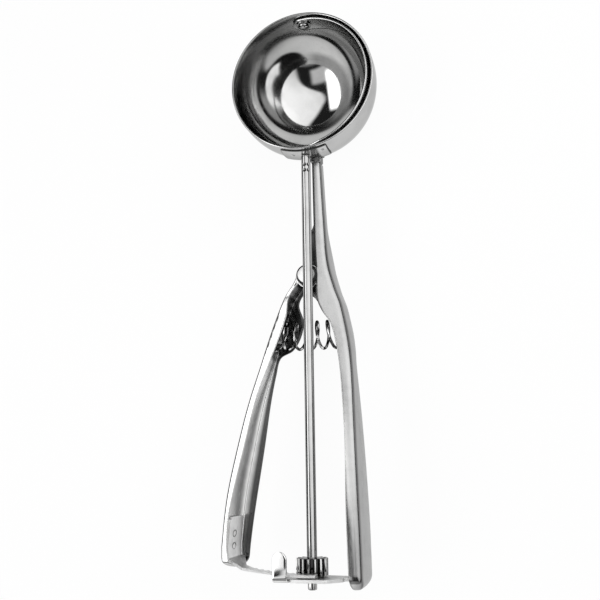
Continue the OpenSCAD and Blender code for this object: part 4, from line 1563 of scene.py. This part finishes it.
@dataclass
class Scraper:
    """The blade that sweeps the bowl, with its stem, pivot rivet and washer."""

    radius: float = 28.75
    thick: float = 0.7
    width: float = 9.0
    eye_r: float = 4.3
    eye_taper: float = 6.0
    foot_r: float = 3.2
    foot_taper: float = 9.0
    turn: float = 7.3
    edge: float = 0.22
    stem_r: float = 1.2
    stem_low: float = -42.9
    bowl_r: float = 30.0
    head_r: float = 2.2
    head_h: float = 1.1
    nose_h: float = 1.9
    pivot_r: float = 1.1
    pivot_tail: float = 27.25

    def half_width(self, q: Array, length: float) -> Array:
        """Returns the blade's half width at distances q along it."""

        def end(past: Array, radius: float, taper: float) -> tuple[Array, Array]:
            """Returns the half width beyond an end's centre, and before it."""
            t = np.clip(-past / taper, 0, 1)
            beyond = np.sqrt(np.clip(radius**2 - np.clip(past, 0, None) ** 2, 0, None))
            return beyond, radius + (self.width / 2 - radius) * t * t * (3 - 2 * t)

        at_eye, near_eye = end(-q, self.eye_r, self.eye_taper)
        at_foot, near_foot = end(q - length, self.foot_r, self.foot_taper)
        body = np.where(q > length, at_foot, np.minimum(near_eye, near_foot))
        return np.where(q < 0, at_eye, body)

    def blade(self) -> Object:
        """Bends the blade's strip along the ball, its ends round."""
        middle_r = self.radius - self.thick / 2
        length = math.pi * middle_r
        ends = 1 - np.cos(np.linspace(0, np.pi / 2, 12))
        middle = np.linspace(0, length, 110)[1:-1]
        foot = length + self.foot_r * (1 - ends[::-1])
        q = np.concatenate([self.eye_r * (ends - 1), middle, foot])
        spin = np.array(Matrix.Rotation(math.radians(-self.turn), 3, "Y"))

        def at(across: Array, depth: float) -> Array:
            """Returns points on the ball, at offsets across and a depth below the outer face."""
            flat, a = np.sqrt((self.radius - depth) ** 2 - across**2), q / middle_r
            return np.column_stack([flat * np.sin(a), flat * np.cos(a), across]) @ spin.T

        half = np.maximum(self.half_width(q, length), 1e-3)
        return strip("scraper_strip", half, self.thick, self.edge, 11, at)

    def stem(self) -> Object:
        """Turns the stem that joins the blade's foot to the shaft."""
        top, r, low = self.thick / 4 - self.radius, self.stem_r, self.stem_low
        profile = rounded([(0, top), (r, top), (r, low), (0, low)], 0.25)
        return lathe("scraper_stem", profile, Axis.Y)

    def rivet(self) -> Object:
        """Turns the pivot rivet with a head outside the bowl and one inside."""
        out, tail = self.bowl_r, self.pivot_tail
        turn = np.radians(np.linspace(0, 90, 10))
        dome = [(self.head_r * math.sin(a), math.cos(a)) for a in turn]
        profile = [(x, out + self.nose_h * y) for x, y in dome]
        profile += [(self.pivot_r, out), (self.pivot_r, tail)]
        profile += [(x, tail - self.head_h * y) for x, y in dome[::-1]]
        return lathe("blade_pivot_rivet_turned", profile, Axis.Y, segments=56)

    def build(self) -> None:
        """Builds and dresses the scraper and its pivot."""
        place(self.blade(), Body.SCRAPER, Slot.POLISHED, STRAP, "scraper_blade")
        place(self.stem(), Body.SCRAPER, Slot.POLISHED, DRAWN)
        place(self.rivet(), Body.FRAME, Slot.RIVET, DRAWN, "blade_pivot_rivet")
        keep_nodes({"blade_pivot_washer": CUT})


@dataclass
class Shaft:
    """The shaft from the bowl to the bracket, staked to the scraper's stem."""

    top: float = -30.9
    low: float = -200.1
    plate: float = -196.5
    radius: float = 1.9
    tail_r: float = 1.7
    socket_r: float = 1.22
    socket_depth: float = 12.05
    dimple_r: float = 0.75
    dimple_sink: float = 0.22
    dimple_down: float = 5.4
    dimple_apart: float = 1.2
    dimple_turns: tuple[float, float] = (0.0, 0.73)

    def marks(self) -> list[Vector]:
        """Returns the centres of the staking dimples, in metres."""
        level = self.top - self.dimple_down
        return [
            Vector((self.radius * math.sin(a), level + up, self.radius * math.cos(a))) * MM
            for a in self.dimple_turns for up in (-self.dimple_apart, self.dimple_apart)
        ]

    def tone(self, points: Array) -> tuple[Array, Array]:
        """Paints shade in the staking dimples."""
        centres = [np.array(centre) / MM for centre in self.marks()]
        away = np.min([np.linalg.norm(points - centre, axis=1) for centre in centres], axis=0)
        return 0.95 * np.clip(1.3 - 1.3 * away / self.dimple_r, 0, 1), 0 * away

    def rod(self) -> Object:
        """Turns the shaft, with its open top, staking dimples and chamfered end."""
        top, plate, r, tail, low = self.top, self.plate, self.radius, self.tail_r, self.low
        rows = [top - 0.3, *np.linspace(top - 0.5, top - 8, 46), *np.linspace(top - 12, plate, 60)]
        profile = [(0, top - self.socket_depth), (self.socket_r, top - self.socket_depth)]
        profile += [(self.socket_r, top), (r - 0.3, top), *((r, y) for y in rows)]
        profile += [(tail, plate - 0.12), (tail, low + 0.5), (tail - 0.12, low + 0.22)]
        profile += [(tail - 0.5, low), (0, low)]
        piece = lathe("shaft_rod", profile, Axis.Y)
        centres = self.marks()
        for vertex in piece.data.vertices:
            out = Vector((vertex.co.x, 0, vertex.co.z))
            if out.length < 0.9 * r * MM:
                continue
            for centre in centres:
                share = 1 - ((vertex.co - centre).length / (self.dimple_r * MM)) ** 2
                if share > 0:
                    vertex.co -= out.normalized() * self.dimple_sink * MM * share
        return piece

    def build(self) -> None:
        """Builds and dresses the shaft."""
        place(tone(self.rod(), self.tone), Body.SCRAPER, Slot.SHAFT, DRAWN, "shaft")


@dataclass
class Gear:
    """The pinion on the shaft, with its washer."""

    teeth: int = 14
    module: float = 0.75
    pressure: float = 20.0
    backlash: float = 0.24
    addendum: float = 0.93
    dedendum: float = 1.2
    bore_r: float = 1.925
    low: float = -194.88
    high: float = -188.68
    broken: float = 0.15

    def outline(self) -> Array:
        """Returns the radius and the angle of the points round the teeth."""
        pitch_r = self.teeth * self.module / 2
        base_r = pitch_r * math.cos(math.radians(self.pressure))
        tip_r = pitch_r + self.addendum * self.module
        root_r = pitch_r - self.dedendum * self.module

        def involute(r: Array | float) -> Array | float:
            """Returns how far the flank has turned at radius r."""
            turn = np.sqrt(np.maximum((r / base_r) ** 2 - 1, 0))
            return turn - np.arctan(turn)

        wide = (math.pi * self.module - self.backlash) / 4 / pitch_r + involute(pitch_r)
        flank = [(r, wide - involute(r)) for r in np.linspace(base_r, tip_r, 6)]
        side = [(root_r, wide), *flank]
        tooth = [(r, -a) for r, a in side] + side[::-1]
        middles = math.pi / 2 + 2 * math.pi * np.arange(self.teeth) / self.teeth
        return np.array([(r, middle + a) for middle in middles for r, a in tooth])

    def mesh(self) -> Object:
        """Builds the pinion with broken tooth ends and a bore."""
        r, a = self.outline().T
        e, cut, bore = self.broken, BREAK * self.broken, np.full(len(r), self.bore_r)
        rings = [
            (r, self.low + e), (r - cut, self.low + cut), (r - e, self.low), (bore, self.low),
            (bore, self.high), (r - e, self.high), (r - cut, self.high - cut), (r, self.high - e),
        ]
        points = np.vstack([
            np.column_stack([radius * np.cos(a), np.full(len(a), level), radius * np.sin(a)])
            for radius, level in rings
        ])
        return written("pinion_gear", shell(points, ring_faces(len(rings), len(r), True)), 35)

    def tone(self, points: Array) -> tuple[Array, Array]:
        """Paints shade in the gaps between the teeth."""
        r = np.hypot(points[:, 0], points[:, 2])
        return 0.97 * rise(r, 5.5, 4.9) * (r > 1.2 * self.bore_r), 0 * r

    def build(self) -> None:
        """Builds and dresses the pinion."""
        place(tone(self.mesh(), self.tone), Body.SCRAPER, Slot.GEAR, CUT, "pinion")
        keep_nodes({"shaft_washer": CUT})


@dataclass
class Bracket:
    """The end bracket: a plate round the shaft, the upturned guide tab and a foot in the handle."""

    low: float = -196.5
    thick: float = 1.2
    thinner: float = 0.03
    left: float = -12.2
    tab_w: float = 5.5
    tab_h: float = 10.8
    bend: float = 2.4
    front: float = 11.45
    tab_lean: float = 0.11
    lead: float = 0.6
    hole_r: float = 1.96
    foot_right: float = 17.65
    foot_front: float = 2.3
    foot_back: float = -3.7
    foot_h: float = 9.0
    foot_bend: float = 2.0
    edge: float = 0.25
    plate_edge: float = 0.3

    def outline(self) -> Knots:
        """Returns the plate's outline in x and z, with the notch beside the tab."""
        edge, left, tab_right = self.front - self.bend, self.left, self.left + self.tab_w
        knee, foot, notch = self.foot_right - 5.15, self.foot_right - self.foot_bend, 0.8
        raw = [
            (left, edge), (tab_right, edge), (tab_right, edge - notch),
            (tab_right + notch, edge - notch), (tab_right + notch, edge + 0.4),
            (knee - 5, edge + 0.4), (knee, edge - 4.6), (knee, self.foot_front),
            (foot, self.foot_front), (foot, self.foot_back), (knee, self.foot_back),
            (1.9, -4.5), (left + 4, -4.5), (left, -0.5), (left, edge),
        ]
        return rounded(raw, 0.3, 3)[:-1]

    def bent(self, reach: float, radius: float, top: float) -> tuple[Array, Array]:
        """Lays out a bend out of the plate and up to a level.

        Args:
            reach: Distance along the plate to the face that stands up.
            radius: The bend's outer radius.
            top: The level where the strip ends.

        Returns:
            Distance and level of the outer face's points, and its directions outwards.
        """
        turn = np.radians(np.linspace(0, 90, 13))
        out = np.column_stack([np.sin(turn), -np.cos(turn)])
        points = np.array([reach - radius, self.low + radius]) + radius * out
        rise_up = [*np.linspace(self.low + radius, top, 10)[1:-1], top - 0.02]
        start = (reach - radius - self.lead, points[0, 1] + 0.015)
        points = np.vstack([[start], points, [(points[-1, 0], level) for level in rise_up]])
        return points, np.vstack([out[:1], out, np.tile(out[-1], (len(rise_up), 1))])

    def tab(self) -> Object:
        """Bends the guide tab up in front of the rack, its top round and its face turned."""
        top, r = self.low + self.tab_h, self.tab_w / 2
        flat, out = self.bent(self.front, self.bend, top - r)
        cap = np.radians(np.linspace(0, 90, 12))[1:]
        half = np.concatenate([np.full(len(flat), r), np.maximum(r * np.cos(cap), 0.02)])
        flat = np.vstack([flat, [(self.front, top - r + r * math.sin(a)) for a in cap]])
        out = np.vstack([out, np.tile(out[-1], (len(cap), 1))])
        middle = self.left + r

        def at(across: Array, depth: float) -> Array:
            """Returns points at offsets across and a depth below the outer face."""
            z, y = (flat - depth * out).T
            return np.column_stack([middle + across, y, z])

        piece = strip("guide_tab", half, self.thick - self.thinner, self.edge, 7, at)
        for vertex in piece.data.vertices:
            up = min(max((vertex.co.y / MM - self.low - 1.0) / 4.0, 0), 1)
            vertex.co.z += self.tab_lean * (vertex.co.x - middle * MM) * up
        return piece

    def foot(self) -> Object:
        """Bends the foot up against the handle's inner face."""
        flat, out = self.bent(self.foot_right, self.foot_bend, self.low + self.foot_h)
        middle = (self.foot_front + self.foot_back) / 2
        half = (self.foot_front - self.foot_back) / 2
        widths = np.full(len(flat), half)
        widths[-1] -= 0.5
        return strip(
            "bracket_foot", widths, self.thick - self.thinner, self.edge, 7,
            lambda across, depth: np.column_stack([flat - depth * out, middle + across]),
        )

    def tone(self, points: Array) -> tuple[Array, Array]:
        """Paints shade on the plate's upper face, under the rack and the pinion, and dulls its cut
        edges.
        """
        x, y, z = points.T
        rim = self.front - self.bend - 0.4
        top = (y > self.low + 0.6 * self.thick) & (y < self.low + 1.5 * self.thick)
        cut = ((z > rim) & (x > self.left + self.tab_w + 0.05)) | (x > 6)
        return 0.5 * (top & (z < rim) & (x < 6)), 0.45 * cut

    def build(self) -> None:
        """Builds and dresses the bracket."""
        high = self.low + self.thick
        hole = (0, 0, self.hole_r)
        sheet = plate("bracket_plate", self.outline(), hole, self.low, high, self.plate_edge)
        joined = tone(join("end_bracket_sheet", [sheet, self.tab(), self.foot()]), self.tone)
        place(joined, Body.FRAME, Slot.POLISHED, PLATE, "end_bracket")


@dataclass
class RackWelds:
    """The rack, kept from the solids, and the rings of the welds that hold its foot."""

    lever: Lever = field(default_factory=Lever)
    places: tuple[tuple[float, float], ...] = ((-180.6, -4.9), (-185.3, -5.5))
    face_inset: float = 2.05
    half_y: float = 1.2
    half_z: float = 1.9
    bead: float = 0.34
    bead_sides: int = 12
    ring_sides: int = 48
    tilt: float = -6.5

    def tree(self) -> Tree:
        """Builds the node tree that lays one oval bead at every point."""
        nodes, given, result = shape_group("weld_rings", {
            Sockets.RADIUS: Kind.FLOAT, Sockets.OVAL: Kind.VECTOR, Sockets.TURN: Kind.VECTOR,
        })
        ring = nodes.add(
            "GeometryNodeCurvePrimitiveCircle", {"Resolution": self.ring_sides, "Radius": 1.0}
        )
        oval = nodes.add("GeometryNodeTransform", {
            "Geometry": ring.outputs["Curve"], "Scale": given.outputs[Sockets.OVAL],
        })
        radius = given.outputs[Sockets.RADIUS]
        bead = swept(nodes, oval.outputs["Geometry"], radius, self.bead_sides, False)
        dots = nodes.add("GeometryNodeMeshToPoints", {"Mesh": given.outputs[Sockets.GEOMETRY]})
        lay = nodes.add("GeometryNodeInstanceOnPoints", {
            "Points": dots.outputs["Points"], "Instance": bead,
            "Rotation": given.outputs[Sockets.TURN],
        })
        close_tree(nodes, result, lay.outputs["Instances"], DULL.material())
        return nodes.tree

    def build(self) -> None:
        """Dresses the rack and lays the weld rings on its foot."""
        keep_nodes({"rack": BLANKED})
        y, z = np.array(self.places).T
        points = np.column_stack([self.lever.web(y, self.face_inset) + SINK, y, z])
        values = {
            Sockets.RADIUS: self.bead / 2 * MM,
            Sockets.OVAL: (self.half_z * MM, self.half_y * MM, MM),
            Sockets.TURN: (0.0, math.pi / 2, math.radians(self.tilt)),
        }
        rings = baked("foot_weld_rings", points, (), self.tree(), values)
        place(rings, Body.LEVER, Slot.POLISHED, DULL)


# ---------------------------------------------------------------- studio


@dataclass
class Studio:
    """The pale floor, the light tent and the camera."""

    floor_z: float = -0.0306
    floor_half: float = 6.0
    floor_glow: float = 0.94
    floor_tint: tuple[float, float, float, float] = (0.92, 0.92, 0.92, 1)
    tent_r: float = 0.62
    tent_low: float = -0.12
    tent_dim: float = 0.02
    border: tuple[tuple[float, float], ...] = (
        (-1.0, 0.4), (-0.8, 0.38), (-0.6, 0.36), (-0.5, 0.3), (-0.38, 0.12), (-0.27, -0.12),
        (-0.16, -0.3), (0.0, -0.36), (0.2, -0.26), (0.45, -0.1), (0.68, 0.06), (1.0, 0.2),
    )
    lens: float = 48.5
    camera_at: tuple[float, float, float] = (0.077444, -0.154869, 0.302988)
    camera_right: tuple[float, float, float] = (0.9655, -0.01356, -0.26005)
    camera_up: tuple[float, float, float] = (0.06477, 0.97976, 0.1894)
    camera_look: tuple[float, float, float] = (-0.25222, 0.19971, -0.94684)

    def material(self, name: str) -> tuple[Material, Nodes, Node]:
        """Makes a material with nothing but its output.

        Args:
            name: The material's name.

        Returns:
            The material, its nodes and its output node.
        """
        made = bpy.data.materials.new(name)
        made.use_nodes = True
        made.node_tree.nodes.clear()
        nodes = Nodes(made.node_tree)
        return made, nodes, nodes.add("ShaderNodeOutputMaterial")

    def floor(self) -> None:
        """Lays the pale floor, which shows white and keeps the scoop's soft shadow."""
        h = self.floor_half
        mesh = bpy.data.meshes.new("floor")
        corners = [(-h, -h), (h, -h), (h, h), (-h, h)]
        mesh.from_pydata([(x, y, self.floor_z) for x, y in corners], [], [(0, 1, 2, 3)])
        piece = linked("floor", mesh)
        made, nodes, out = self.material("pale_floor")
        rays = nodes.add("ShaderNodeLightPath").outputs
        seen = nodes.math("MAXIMUM", rays["Is Camera Ray"], rays["Is Glossy Ray"])
        seen = nodes.math("MAXIMUM", seen, rays["Is Transmission Ray"])
        paint = nodes.add("ShaderNodeBsdfDiffuse", {"Color": self.floor_tint})
        glow = nodes.add("ShaderNodeEmission")
        mix = nodes.add("ShaderNodeMixShader", {
            "Fac": nodes.times(seen, self.floor_glow), 1: paint.outputs[0], 2: glow.outputs[0],
        })
        nodes.feed(out, {"Surface": mix.outputs[0]})
        mesh.materials.append(made)

    def tent(self) -> None:
        """Hangs the light tent: a dome with a wide window, a side strip and dark gaps."""
        bm = bmesh.new()
        bmesh.ops.create_icosphere(bm, subdivisions=4, radius=self.tent_r)
        below = [v for v in bm.verts if v.co.z < self.tent_low * self.tent_r]
        bmesh.ops.delete(bm, geom=below, context="VERTS")
        mesh = bpy.data.meshes.new("light_tent")
        bm.to_mesh(mesh)
        bm.free()
        piece = linked("light_tent", mesh)
        piece.visible_camera = False
        mesh.materials.append(self.tent_cloth())

    def edge_of_window(self, nodes: Nodes, y: Socket) -> Socket:
        """Draws the window's curved border.

        Args:
            nodes: The cloth's nodes.
            y: The direction's y.

        Returns:
            The direction's x at the border.
        """
        level = nodes.math("MULTIPLY_ADD", y, 0.5, 0.5)
        drawn = nodes.add("ShaderNodeFloatCurve", {"Value": level})
        curve = drawn.mapping.curves[0]
        while len(curve.points) < len(self.border):
            curve.points.new(0.5, 0.5)
        for point, (at, edge) in zip(curve.points, self.border):
            point.location = ((at + 1) / 2, (edge + 1) / 2)
            point.handle_type = "AUTO"
        drawn.mapping.update()
        return nodes.math("MULTIPLY_ADD", drawn.outputs["Value"], 2.0, -1.0)

    def tent_cloth(self) -> Material:
        """Returns the tent's cloth, lit behind its window, its strip and its low end."""
        made, nodes, out = self.material("tent_cloth")
        spot = nodes.add("ShaderNodeTexCoord").outputs["Object"]
        unit = nodes.add("ShaderNodeVectorMath", {0: spot}, operation="NORMALIZE")
        x, y, z = nodes.add("ShaderNodeSeparateXYZ", {0: unit.outputs[0]}).outputs
        ramp = nodes.ramp
        past = nodes.math("SUBTRACT", x, self.edge_of_window(nodes, y))
        window = nodes.times(
            ramp(past, -0.07, 0.09), ramp(z, 0.26, 0.42),
            ramp(x, -0.4, 0.8, 1.3, 1.8), ramp(y, -0.85, -0.1, 0.55, 1.0),
        )
        slant = nodes.math("MULTIPLY_ADD", y, 0.02, x)
        side = nodes.times(
            ramp(slant, -0.42, -0.5), ramp(slant, -0.84, -0.74),
            ramp(y, -0.72, -0.6), ramp(y, 0.42, 0.28), ramp(z, 0.1, 0.3), 2.6,
        )
        low = nodes.times(
            ramp(y, -0.4, -0.52), ramp(x, 0.06, -0.1), 0.8,
            ramp(z, 0.05, 0.3), ramp(y, -0.82, -0.745),
        )
        total = nodes.plus(window, side, low, ramp(y, -0.83, -0.9, 0.0, 0.3), self.tent_dim)
        lamp = nodes.add("ShaderNodeEmission", {"Strength": total})
        nodes.feed(out, {"Surface": lamp.outputs[0]})
        return made

    def sky(self) -> None:
        """Sets the plain world behind the tent and the floor."""
        world = bpy.data.worlds.new("plain_world")
        world.use_nodes = True
        back = world.node_tree.nodes["Background"].inputs
        back["Color"].default_value, back["Strength"].default_value = (1, 1, 1, 1), 1.0
        bpy.context.scene.world = world

    def camera(self) -> None:
        """Sets up the camera at the view's angle."""
        data = bpy.data.cameras.new("camera")
        data.lens = self.lens
        data.sensor_width = 36.0
        data.clip_start, data.clip_end = 0.01, 50.0
        piece = linked("camera", data)
        axes = (self.camera_right, self.camera_up, self.camera_look)
        right, up, look = (Vector(v).normalized() for v in axes)
        turn = Matrix((right, up, -look)).transposed()
        piece.matrix_world = Matrix.Translation(self.camera_at) @ turn.to_4x4()
        bpy.context.scene.camera = piece

    def build(self) -> None:
        """Builds the studio."""
        bpy.context.scene.view_settings.view_transform = "Standard"
        self.floor()
        self.tent()
        self.sky()
        self.camera()


def main() -> None:
    """Builds the scoop's sub-assemblies in order, then the studio."""
    logging.basicConfig(level=logging.INFO, format="%(name)s: %(message)s")
    assemblies = (
        Bowl(), FixedHandle(), Lever(), Hinge(), ReturnSpring(), Scraper(), Shaft(), Gear(),
        Bracket(), RackWelds(), Studio(),
    )
    for assembly in assemblies:
        assembly.build()


if __name__ == "__main__":
    main()
